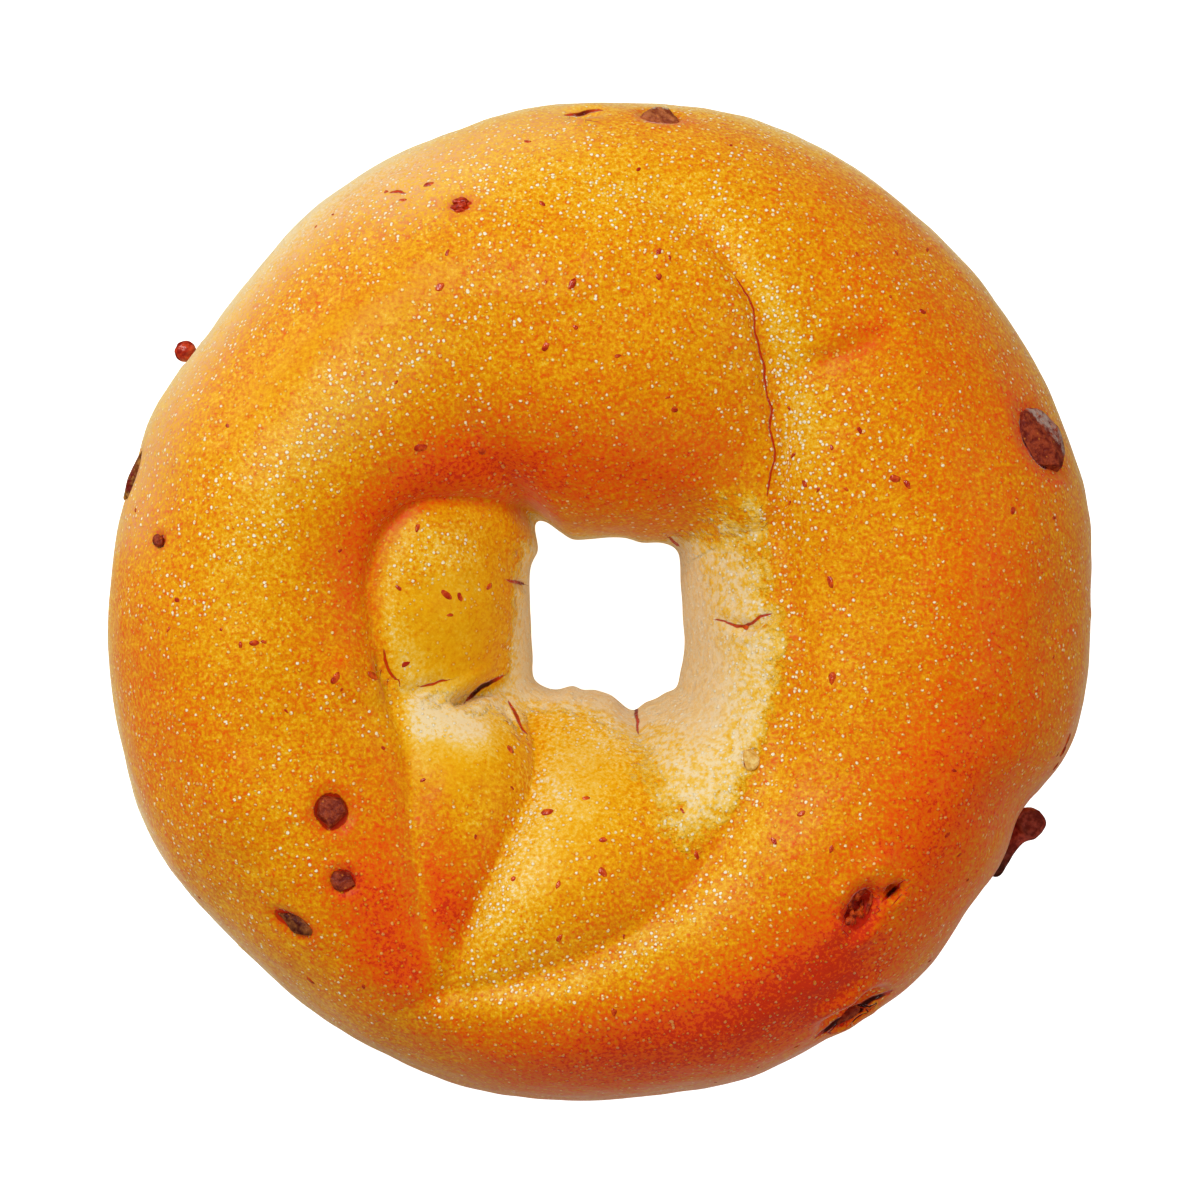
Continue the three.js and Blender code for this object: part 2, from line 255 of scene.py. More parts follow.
# Cracks and slits are narrow folds: half their width, then x, y, depth along them, in millimetres.
CRACKS = {
    "crease of the top strand": {
        "half": 0.5,
        "path": [
            (12.6, 35.2, 0), (14, 33.5, 0.15), (15.7, 30.7, 0.25), (16.2, 27.5, 0.3),
            (17, 24.3, 0.35), (17.1, 22.9, 0.35), (17.4, 20.9, 0.35), (17.9, 19.8, 0.35),
            (17.6, 17.7, 0.35), (18.2, 15.7, 0.35), (17.9, 13.8, 0.3), (17.5, 11.8, 0.25),
            (17.3, 9.6, 0),
        ],
    },
    "pinch, long": {
        "half": 0.6,
        "path": [(-13.9, -10.4, 0.7), (-12.8, -9.4, 1.3), (-11.2, -8.5, 1), (-9.8, -7.7, 0)],
    },
    "pinch, left": {"half": 0.5, "path": [(-19.2, -9, 0), (-17.6, -8.8, 0.5), (-15.9, -8.3, 0.2)]},
    "pinch, right": {"half": 0.5, "path": [(-9.7, -10.3, 0), (-8.9, -11.8, 0.8), (-8, -13.6, 0.4)]},
    "notch in the wall": {"half": 0.5, "path": [(-10, 2.2, 0), (-8.2, 1.7, 1)]},
    "across the flank": {
        "half": 0.5,
        "path": [
            (10.8, -1.8, 0), (13.5, -2.4, 0.4), (14.9, -2.9, 0.9), (16.5, -1.8, 0.5),
            (18.4, -1.4, 0),
        ],
    },
    "cusp below the hole": {"half": 0.4, "path": [(3.8, -11.4, 1), (3.9, -12.8, 0.6), (4, -14.4, 0)]},
    "corner of the hole": {"half": 0.4, "path": [(7.4, 6.4, 0.6), (8.6, 5.4, 0)]},
    "beside the left strand": {
        "half": 0.5,
        "path": [(-22.5, -4.5, 0), (-22, -7.2, 0.6), (-21.2, -8.2, 0.3)],
    },
    "tear, upper end": {"half": 0.5, "path": [(29.2, -31.4, 0), (30.2, -30.4, 1.4), (31, -29.6, 0.6)]},
    "tear, lower end": {
        "half": 0.4,
        "path": [(25, -33.8, 0), (25.8, -32.6, 0.7), (27, -31.4, 0.5), (28.6, -30.4, 0)],
    },
    "slit at the lower right": {
        "half": 0.75,
        "path": [
            (22.3, -45.9, 0), (24.6, -44.2, 2), (26.8, -43, 3), (28.2, -41.9, 2),
            (29.6, -41.3, 1), (30.8, -40.8, 0),
        ],
    },
    "slit at the top": {
        "half": 0.4,
        "path": [(-3.8, 50.6, 0), (-2.4, 50.8, 1), (-0.8, 51.1, 0.8), (0.4, 51.2, 0)],
    },
    "small tear above": {"half": 0.5, "path": [(-22, 42.4, 0), (-21, 42.6, 0.5), (-20, 42.2, 0)]},
}
# Small bumps and hollows: x, y, height, reach along the strand, reach across it, in millimetres.
DENTS = [
    (27.4, -31.4, -1.5, 2.2, 1.3), (30.4, -30.2, -1.6, 0.8, 0.7), (29, -27.6, 0.5, 1.4, 1),
    (25.4, -33.6, 0.5, 2.4, 0.9), (27.5, -35.2, 0.5, 2, 0.8), (24.8, -30.4, 0.4, 0.8, 1.2),
    (-26, -7.6, 0.7, 2.2, 2.2), (-29.5, -8.4, -0.35, 1.5, 1.5), (-23.4, -9.6, 0.5, 1.2, 1.2),
    (41, -13, -0.5, 3, 3), (36, -4, 0.4, 6, 4), (-4, 33, 0.5, 7, 4), (22, 12, 0.5, 4, 4),
    (-39, -20, 0.5, 7, 4),
]

fold_paths.update({name: smooth_path(crack["path"]) * MM for name, crack in CRACKS.items()})


def relief(x, y):
    """Height that the folds, lobes and cracks add to the plain ring, seen from above."""
    height = np.zeros(np.shape(x))
    for name, fold in FOLDS.items():
        away, side, depth = beside_path(fold_paths[name], x, y)
        width = np.where(side > 0, fold["left"], fold["right"]) * MM
        away = np.hypot(away, CREASE_ROUNDING) - CREASE_ROUNDING
        height -= depth * (0.75 * np.exp(-away / width) + 0.25 * np.exp(-4 * away / width))
    for name, crack in CRACKS.items():
        away, side, depth = beside_path(fold_paths[name], x, y)
        half = crack["half"] * MM
        height -= depth * np.exp(-((away / half) ** 2))
        height += 0.35 * depth * np.exp(-(((away - 2.2 * half) / half) ** 2))
    for lobe_x, lobe_y, rise, radius in LOBES:
        away2 = (x - lobe_x * MM) ** 2 + (y - lobe_y * MM) ** 2
        height += rise * MM * np.exp(-away2 / (radius * MM) ** 2)
    for dent_x, dent_y, rise, along, across in DENTS:
        far = math.hypot(dent_x, dent_y)
        out = ((x - dent_x * MM) * dent_x + (y - dent_y * MM) * dent_y) / far
        round_ring = ((y - dent_y * MM) * dent_x - (x - dent_x * MM) * dent_y) / far
        height += rise * MM * np.exp(-((round_ring / (along * MM)) ** 2) - (out / (across * MM)) ** 2)
    return height


# %% [markdown]
# ## From two angles to a point on the crust
# `turn` goes around the ring from +X and `around` goes around its section: 0 is the outermost
# line, 90 the crest, 180 the wall of the hole and 270 the underside. This one function places
# every vertex of the dough, and later it also finds where the baked-in pieces sit.

# %% The dough's surface
def crust_point(turn, around):
    """Where the crust is at these angles [deg], as an array of x, y, z in metres."""
    turn = np.asarray(turn, float)
    around = np.asarray(around, float)
    c = np.cos(np.radians(around))
    s = np.sin(np.radians(around))
    inward = c < 0
    crest = course(CREST_RADIUS, turn)
    outer_half = WAIST_RADIUS + swells(OUTLINE_SWELLS, turn) - crest
    inner_half = crest - hole_radius(turn)
    rise = np.where(s < 0, WAIST_HEIGHT + UNDERSIDE_SINK, course(CREST_HEIGHT, turn) - WAIST_HEIGHT)
    top_fullness = np.where(inward, course(INNER_FULLNESS, turn), OUTER_FULLNESS)
    fullness = np.where(s < 0, UNDERSIDE_FULLNESS, top_fullness)
    half = np.where(inward, inner_half, outer_half)
    reach = (np.abs(c / half) ** fullness + np.abs(s / rise) ** fullness) ** (-1 / fullness)
    shift = np.where(inward, np.clip(-c * reach / inner_half, 0, 1), 0)  # 1 at the wall of the hole
    centre_x = HOLE["x"] * shift
    centre_y = HOLE["y"] * shift
    cos_turn = np.cos(np.radians(turn))
    sin_turn = np.sin(np.radians(turn))
    radius = crest + c * reach
    fade = smoothstep(0.05, 0.4, s)
    reach = reach + fade * relief(centre_x + radius * cos_turn, centre_y + radius * sin_turn)
    radius = crest + c * reach
    z = np.maximum(0, WAIST_HEIGHT + s * reach)
    x = centre_x + radius * cos_turn
    y = centre_y + radius * sin_turn
    return np.stack([x, y, z], -1)


# %% [markdown]
# ## The dough ring as a mesh
# A circle is spun around the hole into a torus, and each vertex then moves to its place on the
# crust. The torus gives even quads that follow the strands, with no poles. Three quarters of the
# section's points are gathered on the upper side, where the folds are.

# %% Spin a torus and move it onto the crust
TURN_STEPS = 80
AROUND_STEPS = 25
CUTS = 6  # each coarse face becomes a grid of 7 by 7
TORUS_RADIUS = 30 * MM
TUBE_RADIUS = 10 * MM
UPPER_CROWDING = -20  # degrees by which the outermost and innermost points move down the flanks


def make_torus():
    bm = bmesh.new()
    section = bmesh.ops.create_circle(
        bm, segments=AROUND_STEPS, radius=TUBE_RADIUS, matrix=Matrix.Rotation(math.pi / 2, 4, "X")
    )
    bmesh.ops.translate(bm, verts=section["verts"], vec=(TORUS_RADIUS, 0, 0))
    bmesh.ops.spin(
        bm,
        geom=bm.verts[:] + bm.edges[:],
        cent=(0, 0, 0),
        axis=(0, 0, 1),
        angle=2 * math.pi,
        steps=TURN_STEPS,
        use_merge=True,
    )
    bmesh.ops.subdivide_edges(bm, edges=bm.edges[:], cuts=CUTS, use_grid_fill=True)
    bm.normal_update()
    bmesh.ops.recalc_face_normals(bm, faces=bm.faces[:])
    return bm


def torus_angles(co):
    """The two angles of each torus vertex, with the section's angle gathered on its upper side."""
    radius = np.hypot(co[:, 0], co[:, 1])
    turn = np.degrees(np.arctan2(co[:, 1], co[:, 0])) % 360
    around = np.degrees(np.arctan2(co[:, 2], radius - TORUS_RADIUS))
    return turn, around - UPPER_CROWDING * np.cos(np.radians(around))


dough_bm = make_torus()
dough_mesh = bpy.data.meshes.new("dough")
dough_bm.to_mesh(dough_mesh)
dough_bm.free()
torus_co = np.array([v.co for v in dough_mesh.vertices])
turns, arounds = torus_angles(torus_co)
crust = crust_point(turns, arounds)
print("dough vertices:", len(crust), "top, mm:", round(crust[:, 2].max() / MM, 2))

# %% [markdown]
# ## Where the baked-in pieces sit
# Thirteen pieces of nut and fruit show in the crust. The frame says where each one is; how long,
# wide and thick it is, how it is turned and how far it stands proud is listed here. Each seat is a
# small frame on the crust: along the ring, across it and outwards.

# %% Seats of the pieces
# size in millimetres; spin and lean in degrees; up: how far it faces straight up instead of
# outwards; proud: the share of its thickness above the crust; taper: how much thinner its first end is.
PIECES = [
    {
        "node": "nut_piece_right",
        "size": (8.2, 6, 4),
        "spin": 15,
        "up": 0.45,
        "proud": 0.42,
        "dusty": (-0.02, -0.25),
    },
    {
        "node": "nut_piece_top",
        "size": (4.4, 3.2, 3),
        "spin": 0,
        "up": 0.35,
        "proud": 0.36,
        "dusty": (-0.05, -0.25),
    },
    {"node": "nut_piece_lower_left", "size": (4.6, 4.1, 2.4), "spin": -34, "proud": 0.28},
    {"node": "nut_piece_lower_left_small", "size": (2.8, 2.6, 2), "spin": 30, "proud": 0.28},
    {"node": "nut_sliver_lower_left", "size": (5, 2.1, 1.8), "spin": 18, "proud": 0.34, "taper": 0.75},
    {
        "node": "nut_sliver_left_edge",
        "size": (5.9, 2.4, 2.1),
        "spin": 0,
        "proud": 0.56,
        "taper": 0.7,
        "dusty": (0.0, 0.2),
    },
    {"node": "nut_piece_in_tear", "size": (5.4, 3.2, 1.8), "spin": 32, "proud": 0.34},
    {"node": "nut_piece_in_slit", "size": (3.6, 1.5, 2.2), "spin": 0, "proud": 0.1},
    {"node": "nut_crumb_left", "size": (1.5, 1.4, 1.4), "spin": 40, "proud": 0.4},
    {"node": "nut_crumb_by_hole", "size": (2.5, 1.8, 1.4), "spin": 60, "proud": 0.4},
    {"node": "fruit_crumb_top", "size": (2.4, 1.7, 1.5), "spin": -14, "proud": 0.4},
    {"node": "fruit_bead", "size": (2.3, 2.3, 2.3), "spin": 0, "proud": 0.8},
    {"node": "fruit_stalk", "size": (8.5, 3.5, 3.5), "spin": 2, "lean": -21, "proud": 0.7},
]


def unit(vector):
    return vector / np.linalg.norm(vector)


def normals_of(mesh):
    flat = np.empty(len(mesh.vertices) * 3, np.float32)
    mesh.vertices.foreach_get("normal", flat)
    return flat.reshape(-1, 3)


def turned_by(angle, first, second):
    """Two directions at right angles, turned in their own plane."""
    return (
        first * math.cos(angle) + second * math.sin(angle),
        second * math.cos(angle) - first * math.sin(angle),
    )


def seat_at(point, spin, up):
    """A frame on the crust near a point: where it is, and its along, across and outwards directions."""
    away2 = np.sum((crust - point) ** 2, axis=1)
    here = crust[np.argmin(away2)]
    outwards = unit(crust_normals[away2 < away2.min() + (1.5 * MM) ** 2].mean(axis=0))
    outwards = unit(outwards * (1 - up) + np.array((0, 0, up)))
    along = np.array((-here[1], here[0], 0))
    along = unit(along - outwards * (along @ outwards))
    across = np.cross(outwards, along)
    turn = math.radians(spin)
    return here, *turned_by(turn, along, across), outwards


dough_mesh.vertices.foreach_set("co", crust.ravel())
dough_mesh.update()
crust_normals = normals_of(dough_mesh)
for piece in PIECES:
    low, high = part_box(piece["node"])
    piece["seat"] = seat_at(np.array((low + high) / 2), piece["spin"], piece.get("up", 0))
seats_of = {piece["node"]: piece for piece in PIECES}
print("seats:", len(seats_of))

# %% [markdown]
# ## Soft unevenness
# Baked dough is never a clean curve. Two sizes of noise move the surface by a few tenths of a
# millimetre along its normals, some eighty low blisters stand on its upper side, and the dough
# dips around each piece and rises in a soft lip beside it.

# %% Noise, blisters and lips
SWELL_SIZE = 11 * MM
SWELL_HEIGHT = 0.45 * MM
RIPPLE_SIZE = 3 * MM
RIPPLE_HEIGHT = 0.1 * MM
BLISTER_COUNT = 80
DIP_DEPTH = 0.4 * MM
LIP_HEIGHT = 0.08 * MM
draws = np.random.default_rng(7)


def noise_at(points, size):
    return np.array([noise.noise(point) for point in (points / size).tolist()])


def share_of_piece(piece, margin):
    """0 in the middle of a piece's seat, 1 at its edge with a margin around it, more outside."""
    here, along, across, outwards = piece["seat"]
    from_seat = crust - here
    length, width, _ = (0.5 * side * MM + margin for side in piece["size"])
    flat = np.hypot(from_seat @ along / length, from_seat @ across / width)
    return np.hypot(flat, from_seat @ outwards / (6 * MM))


lift = SWELL_HEIGHT * noise_at(crust, SWELL_SIZE) + RIPPLE_HEIGHT * noise_at(crust + 1, RIPPLE_SIZE)
blister_turns = draws.uniform(0, 360, BLISTER_COUNT)
blister_middles = crust_point(blister_turns, draws.uniform(10, 150, BLISTER_COUNT))
for middle, radius in zip(blister_middles, draws.uniform(0.7 * MM, 1.6 * MM, BLISTER_COUNT)):
    near2 = np.sum((crust - middle) ** 2, axis=1)
    lift += 0.11 * radius * np.exp(-near2 / (0.6 * radius) ** 2)
for piece in PIECES:
    lift -= DIP_DEPTH * np.exp(-((share_of_piece(piece, 0.1 * MM) / 1.05) ** 6))
    lift += LIP_HEIGHT * np.exp(-(((share_of_piece(piece, 0.7 * MM) - 1.05) / 0.22) ** 2))
lift *= smoothstep(0, 3 * MM, crust[:, 2])
crust = crust + crust_normals * lift[:, None]
crust[:, 2] = np.maximum(0, crust[:, 2])
print("uneven by, mm:", round(lift.min() / MM, 2), "to", round(lift.max() / MM, 2))

# %% Make the dough object
dough_mesh.vertices.foreach_set("co", crust.ravel())
dough_mesh.update()
dough_mesh.polygons.foreach_set("use_smooth", [True] * len(dough_mesh.polygons))
dough = bpy.data.objects.new("dough", dough_mesh)
bpy.context.scene.collection.objects.link(dough)
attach(dough, "root")
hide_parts("dough_ring")

# %% [markdown]
# ## Where the crust browned, with painted light and shade
# The oven browned whatever stood highest and left the creases and the wall of the hole pale. The
# browning is worked out once per vertex, as strokes of a soft brush seen from above, and stored in
# an attribute that the material reads. The same attribute carries painted light and shade: strokes
# that keep to one side of a fold paint shade on the slope turned away from the light and a paler
# lit edge on the slope turned towards it, another makes the lit upper left slope paler, the crust
# is painted darker in the dip around each piece, and the flank is painted paler on the lit upper
# left and darker at the lower right.

# %% Strokes of browning
# A stroke: how wide, which side of which fold, and x, y, strength along it, in millimetres.
BROWNING_OF_THE_TOP = 0.45
BROWNING_AND_PAINTED_LIGHT = [
    {
        "width": 3.6,
        "fold": "inner edge of the left strand",
        "side": -1,
        "path": [
            (-26.4, -6, 0.12), (-25.6, 0, 0.22), (-25, 5.6, 0.3), (-22.2, 9.5, 0.36),
            (-17.6, 12.4, 0.36), (-12.4, 13.4, 0.34), (-6.2, 12.6, 0.26), (0, 12, 0.22),
            (6.3, 12.1, 0.2), (11.4, 13.4, 0.1),
        ],
    },
    {"width": 6, "path": [(-14, 17, 0.12), (0, 17, 0.17), (9, 16, 0.15)]},
    {
        "width": 4.5,
        "fold": "inner edge of the left strand",
        "side": -1,
        "path": [(-22.6, -18, 0.12), (-22.6, -25, 0.2), (-22.6, -31, 0.3), (-20.4, -37.3, 0.32)],
    },
    {
        "width": 2.2,
        "fold": "inner edge of the left strand",
        "side": 1,
        "path": [(-17.4, -21, 0.1), (-17, -28, 0.25), (-16.4, -34, 0.3)],
    },
    {"width": 5, "path": [(-26, -34.2, 0.12), (-20, -41, 0.12)]},
    {
        "width": 5.5,
        "fold": "inner edge of the right strand",
        "side": -1,
        "path": [
            (-14, -47, 0.16), (-4.1, -47.7, 0.32), (5.2, -46.7, 0.32), (14.6, -43.6, 0.26),
            (22.8, -39.9, 0.16),
        ],
    },
    {
        "width": 9,
        "path": [
            (42.5, -2.1, 0.18), (39.9, -12.5, 0.25), (36.3, -20.8, 0.24), (31.1, -30.1, 0.18),
            (26, -36.3, 0.14),
        ],
    },
    {"width": 9, "path": [(31.1, 36.2, 0.1), (39.4, 20.7, 0.14), (41.5, 8.2, 0.12)]},
    {"width": 1.6, "path": [(20.8, 23.6, 0.15), (28.5, 27.9, 0.15)]},
    # Painted light: the lit upper left slope of the top strand is made paler.
    {
        "width": 5,
        "path": [(-38.3, -4.2, -0.08), (-35.7, 8.2, -0.12), (-29, 19.6, -0.12), (-20.7, 26.9, -0.08)],
    },
    {"width": 5, "path": [(-14, 43.5, -0.1), (-4, 45, -0.14), (6, 43, -0.1)]},
    # Paler beside the crease: partly the crease's paler dough, partly painted light on the slope turned
    # towards the light.
    {
        "width": 3,
        "fold": "end of the top strand",
        "side": 1,
        "path": [
            (12, 40, -0.1), (15.6, 34.6, -0.16), (18.8, 27.9, -0.2), (20.6, 18.6, -0.24),
            (20.4, 12.4, -0.1),
        ],
    },
    # Painted light: a paler lit edge along the bottom strand beside its fold.
    {
        "width": 2,
        "fold": "inner edge of the right strand",
        "side": -1,
        "path": [
            (-20.7, -43, -0.1), (-8.2, -41, -0.16), (2.1, -38, -0.18), (12.5, -29.4, -0.14),
            (17.6, -19.7, -0.1),
        ],
    },
    {"width": 2.8, "path": [(-4.1, -11.4, -0.2), (4.2, -14, -0.24), (9, -11, -0.2)]},
    {"width": 6, "path": [(-2, -16.6, -0.16), (0, -21, -0.1)]},
    # Painted light and shade at the diagonal fold: this stroke makes its lit side paler, and the next
    # darkens the slope turned away from the light.
    {
        "width": 3.6,
        "fold": "diagonal fold from the hole",
        "side": 1,
        "path": [(-5.4, -20, -0.12), (-8, -27, -0.2), (-11.4, -33.2, -0.2), (-14.4, -38, -0.1)],
    },
    {
        "width": 3,
        "fold": "diagonal fold from the hole",
        "side": -1,
        "path": [(-7.8, -16, 0.08), (-10, -24, 0.16), (-14, -32, 0.3)],
    },
    {"width": 3, "path": [(-18, 6, -0.14), (-15.5, 5.4, -0.14)]},
    {"width": 7, "path": [(-15, 0, -0.1), (-14, -14, -0.1), (-12, -20, -0.1)]},
    {"width": 8, "path": [(-2, -20, -0.08), (-4, -28, -0.08), (2, -24, -0.05)]},
    {
        "width": 2,
        "fold": "inner edge of the left strand",
        "side": 1,
        "path": [(-21, 7, -0.12), (-22.8, 0, -0.2), (-20, -8, -0.18), (-19, -17, -0.14)],
    },
    {"width": 3, "path": [(-17.4, -12, -0.34), (-13.4, -13, -0.36), (-11, -12.6, -0.2)]},
    {"width": 5, "path": [(1, -33, 0.1), (7, -28, 0.12)]},
    {"width": 6, "path": [(-42, 22, -0.02), (-32, 35, -0.04), (-22, 43, -0.06), (-12, 46, -0.04)]},
    {"width": 6, "path": [(-47, -2, 0.04), (-46, -12, 0.1), (-42, -24, 0.04)]},
    {
        "width": 6,
        "path": [(38, -18, 0.1), (33, -28, 0.16), (26, -37, 0.2), (16, -44, 0.16), (4, -48, 0.1)],
    },
    {"width": 5, "path": [(8, -44.5, 0.08), (16, -42.5, 0.14), (24, -38, 0.12)]},
    {
        "width": 1.6,
        "path": [(25.6, -30, -0.1), (28.6, -28.4, -0.16), (31, -29, -0.12), (30, -33.4, -0.12)],
    },
]
# Dough that never browned: the same kind of strokes. The material gives it a ragged edge.
BARE_DOUGH = [
    {
        "width": 5.6,
        "fold": "inner edge of the right strand",
        "side": 1,
        "path": [
            (15.6, 9.4, 0.55), (14.4, 2, 0.66), (14.6, -6, 1), (13, -12, 1), (11, -18, 1),
            (9.6, -22, 0.7),
        ],
    },
    {"width": 2, "path": [(-7.6, 5, 0.6), (-7.6, 0, 0.9), (-7.8, -5, 1), (-7.6, -9, 1)]},
    {
        "width": 1.9,
        "path": [
            (-4.8, -10, 1), (-1, -10.6, 1), (3.2, -12.2, 1), (7, -10.4, 1), (9, -7, 1),
            (8.8, 4, 1),
        ],
    },
    {
        "width": 3.4,
        "path": [(9.6, 3, 0.5), (10.4, -4, 0.6), (10, -11, 0.7), (7, -14, 0.5), (4.6, -15.6, 0.3)],
    },
    {"width": 1.5, "path": [(-12.6, -11, 0.8), (-10.4, -10.4, 0.9), (-8.8, -12.4, 0.7)]},
    {"width": 1.3, "path": [(-17.4, -10.4, 0.6), (-15, -10, 0.6)]},
]
# A painted sheen lies over the crust along the lit upper left rim, a pale haze where the light grazes it:
# the same kind of strokes.
PAINTED_SHEEN = [
    {
        "width": 3.2,
        "path": [
            (-4, 50.5, 0.12), (-15, 48, 0.22), (-24, 45.5, 0.55), (-32, 39.5, 0.6), (-40, 31, 0.55),
            (-46, 20, 0.26), (-49.5, 8, 0.16),
        ],
    },
    {"width": 3, "path": [(-13, 44, 0.06), (-20.7, 41.4, 0.16), (-24, 39, 0.06)]},
    {"width": 3, "path": [(-18, 27, 0.02), (-28, 18.6, 0.06), (-34, 14, 0.02)]},
]
# How much paler the flank below the top is, around the ring, as [turn, paleness]: partly the flank's own
# paler crust and partly painted light, paler on the lit upper left and darker, below zero, at the lower
# right.
FLANK_PALENESS_AND_LIGHT = [
    (0, 0.16), (60, 0.42), (115, 0.54), (150, 0.44), (200, 0.36), (265, -0.05), (300, -0.15),
    (330, -0.15),
]
# Where blisters, and the painted glints on them, stand thicker or thinner than elsewhere: the same kind of
# strokes. Many of them place painted highlight: thick on the lit slopes and along bright edges beside the
# folds, thin in darker bands.
BLISTERS_AND_SPARKLE = [
    {
        "width": 3.6,
        "path": [(-4, 44, 0.2), (2, 41.5, 0.3), (7.8, 38.5, 0.35), (12.8, 36.4, 0.4), (16.5, 32, 0.4)],
    },
    {"width": 3.6, "path": [(18.6, 28.5, 0.4), (21, 22, 0.45), (21.6, 16, 0.45), (21, 10, 0.3)]},
    {
        "width": 3.6,
        "path": [(-40, 2, 0.1), (-33, 15, 0.26), (-21, 24.5, 0.32), (-12, 29, 0.26), (0, 33, 0.1)],
    },
    {"width": 4, "path": [(-47, 10, 0.1), (-40, 25, 0.16), (-28, 38, 0.2), (-14, 44, 0.24)]},
    {"width": 3, "path": [(-38, 17, -0.15), (-31.6, 25, -0.2), (-17.6, 33, -0.2)]},
    {"width": 2.2, "path": [(-19.4, 4.6, 0.6), (-15, 6, 0.6)]},
    {"width": 0.6, "path": [(22.6, -45.2, 0.7), (25.4, -43, 0.8), (28, -41.2, 0.7)]},
    {"width": 6.5, "path": [(-16, 4, -0.3), (-15, -15, -0.3)]},
    {"width": 6, "path": [(-1, -18, -0.22), (-4, -27, -0.14)]},
    {
        "width": 1,
        "path": [
            (17.6, 9, 0.5), (19.6, 2, 0.6), (20.6, -6, 0.6), (19.6, -13, 0.6), (16.6, -19, 0.6),
            (13.4, -24, 0.5),
        ],
    },
    {"width": 1.2, "path": [(-6.6, -18, 0.3), (-9.6, -26, 0.5), (-13.6, -34, 0.5)]},
    {"width": 1.4, "path": [(-18, -43, 0.4), (-8, -40.4, 0.5), (2, -37.4, 0.5), (12, -29.6, 0.5)]},
    {"width": 1.2, "path": [(16.4, 34, 0.4), (18.6, 25, 0.5), (19.2, 16, 0.6), (18.6, 9, 0.5)]},
]


# %% Attributes of the dough
TOP_BLISTERS = 0.42


def brushed(strokes, x, y):
    """Adds up soft strokes, each a path with a strength at each point and a width."""
    total = np.zeros(np.shape(x))
    for stroke in strokes:
        away, _, strength = beside_path(smooth_path(stroke["path"]) * (MM, MM, 1), x, y)
        strength = strength * np.exp(-((away / (stroke["width"] * MM)) ** 2))
        if "fold" in stroke:
            from_fold, side, _ = beside_path(fold_paths[stroke["fold"]], x, y)
            strength = strength * smoothstep(-0.5 * MM, 0.9 * MM, side * stroke["side"] * from_fold)
        total += strength
    return total


def store(mesh, name, values):
    attribute = mesh.attributes.new(name, "FLOAT", "POINT")
    attribute.data.foreach_set("value", np.asarray(values, np.float32))


seen_x = crust[:, 0]
seen_y = crust[:, 1]
height_share = crust[:, 2] / ring_high.z
from_above = smoothstep(0.3, 0.75, height_share)
inside_ring = smoothstep(24 * MM, 16 * MM, np.hypot(seen_x, seen_y))
ring_turn = np.degrees(np.arctan2(seen_y, seen_x)) % 360
flank_pale_and_lit = course(FLANK_PALENESS_AND_LIGHT, ring_turn) * (1 - smoothstep(0.36, 0.68, height_share))
flank_pale_and_lit *= smoothstep(0.04, 0.36, height_share)
browning_and_painted_light = BROWNING_OF_THE_TOP + from_above * brushed(BROWNING_AND_PAINTED_LIGHT, seen_x, seen_y) - flank_pale_and_lit
browning_and_painted_light += 0.25 * (1 - smoothstep(0.0, 0.25, height_share))
# The crust is painted darker in the dip around each piece: painted shade.
for piece in PIECES:
    if piece["node"] != "nut_crumb_by_hole":
        browning_and_painted_light += 0.22 * np.exp(-((share_of_piece(piece, 0.3 * MM) / 1.2) ** 4))
store(dough_mesh, "browning_and_painted_light", browning_and_painted_light)
store(dough_mesh, "blisters_and_sparkle", TOP_BLISTERS + from_above * brushed(BLISTERS_AND_SPARKLE, seen_x, seen_y))
store(dough_mesh, "painted_sheen", smoothstep(0.25, 0.5, height_share) * brushed(PAINTED_SHEEN, seen_x, seen_y))
store(dough_mesh, "sole", 1 - smoothstep(0.02, 0.16, height_share))
below_rim = inside_ring * smoothstep(0.62, 0.45, height_share) * smoothstep(0.02, 0.1, height_share)
store(dough_mesh, "bare", np.clip(brushed(BARE_DOUGH, seen_x, seen_y) + below_rim, 0, 1.5))
print("browning from", round(browning_and_painted_light.min(), 2), "to", round(browning_and_painted_light.max(), 2))

# %% [markdown]
# ## Lines where the skin opened, and painted shade around the pieces
# A crack is thinner than the mesh is fine, so its line is drawn by the material. The same kind of
# line is drawn around each baked-in piece, as painted shade in the gap between piece and dough.
# Each vertex stores how far it is from the nearest crack or piece edge, with a sign for a crack's
# side, and half the line's width there, both in millimetres. Between two vertices the distance
# passes through zero on the line.

# %% Distance to the cracks and to the painted shade lines around the pieces
CRACK_REACH = 1.3 * MM
CONTACT_REACH = 0.7 * MM
crack_and_shade_line_distance = np.full(len(crust), CRACK_REACH)
crack_and_shade_line_width = np.zeros(len(crust))
for name in CRACKS:
    away, side, depth = beside_path(fold_paths[name], seen_x, seen_y)
    nearer = away < np.abs(crack_and_shade_line_distance)
    crack_and_shade_line_distance = np.where(nearer, side * away, crack_and_shade_line_distance)
    half_width = smoothstep(0, 0.3 * MM, depth) * (0.1 * MM + 0.17 * depth)
    crack_and_shade_line_width = np.where(nearer, half_width, crack_and_shade_line_width)
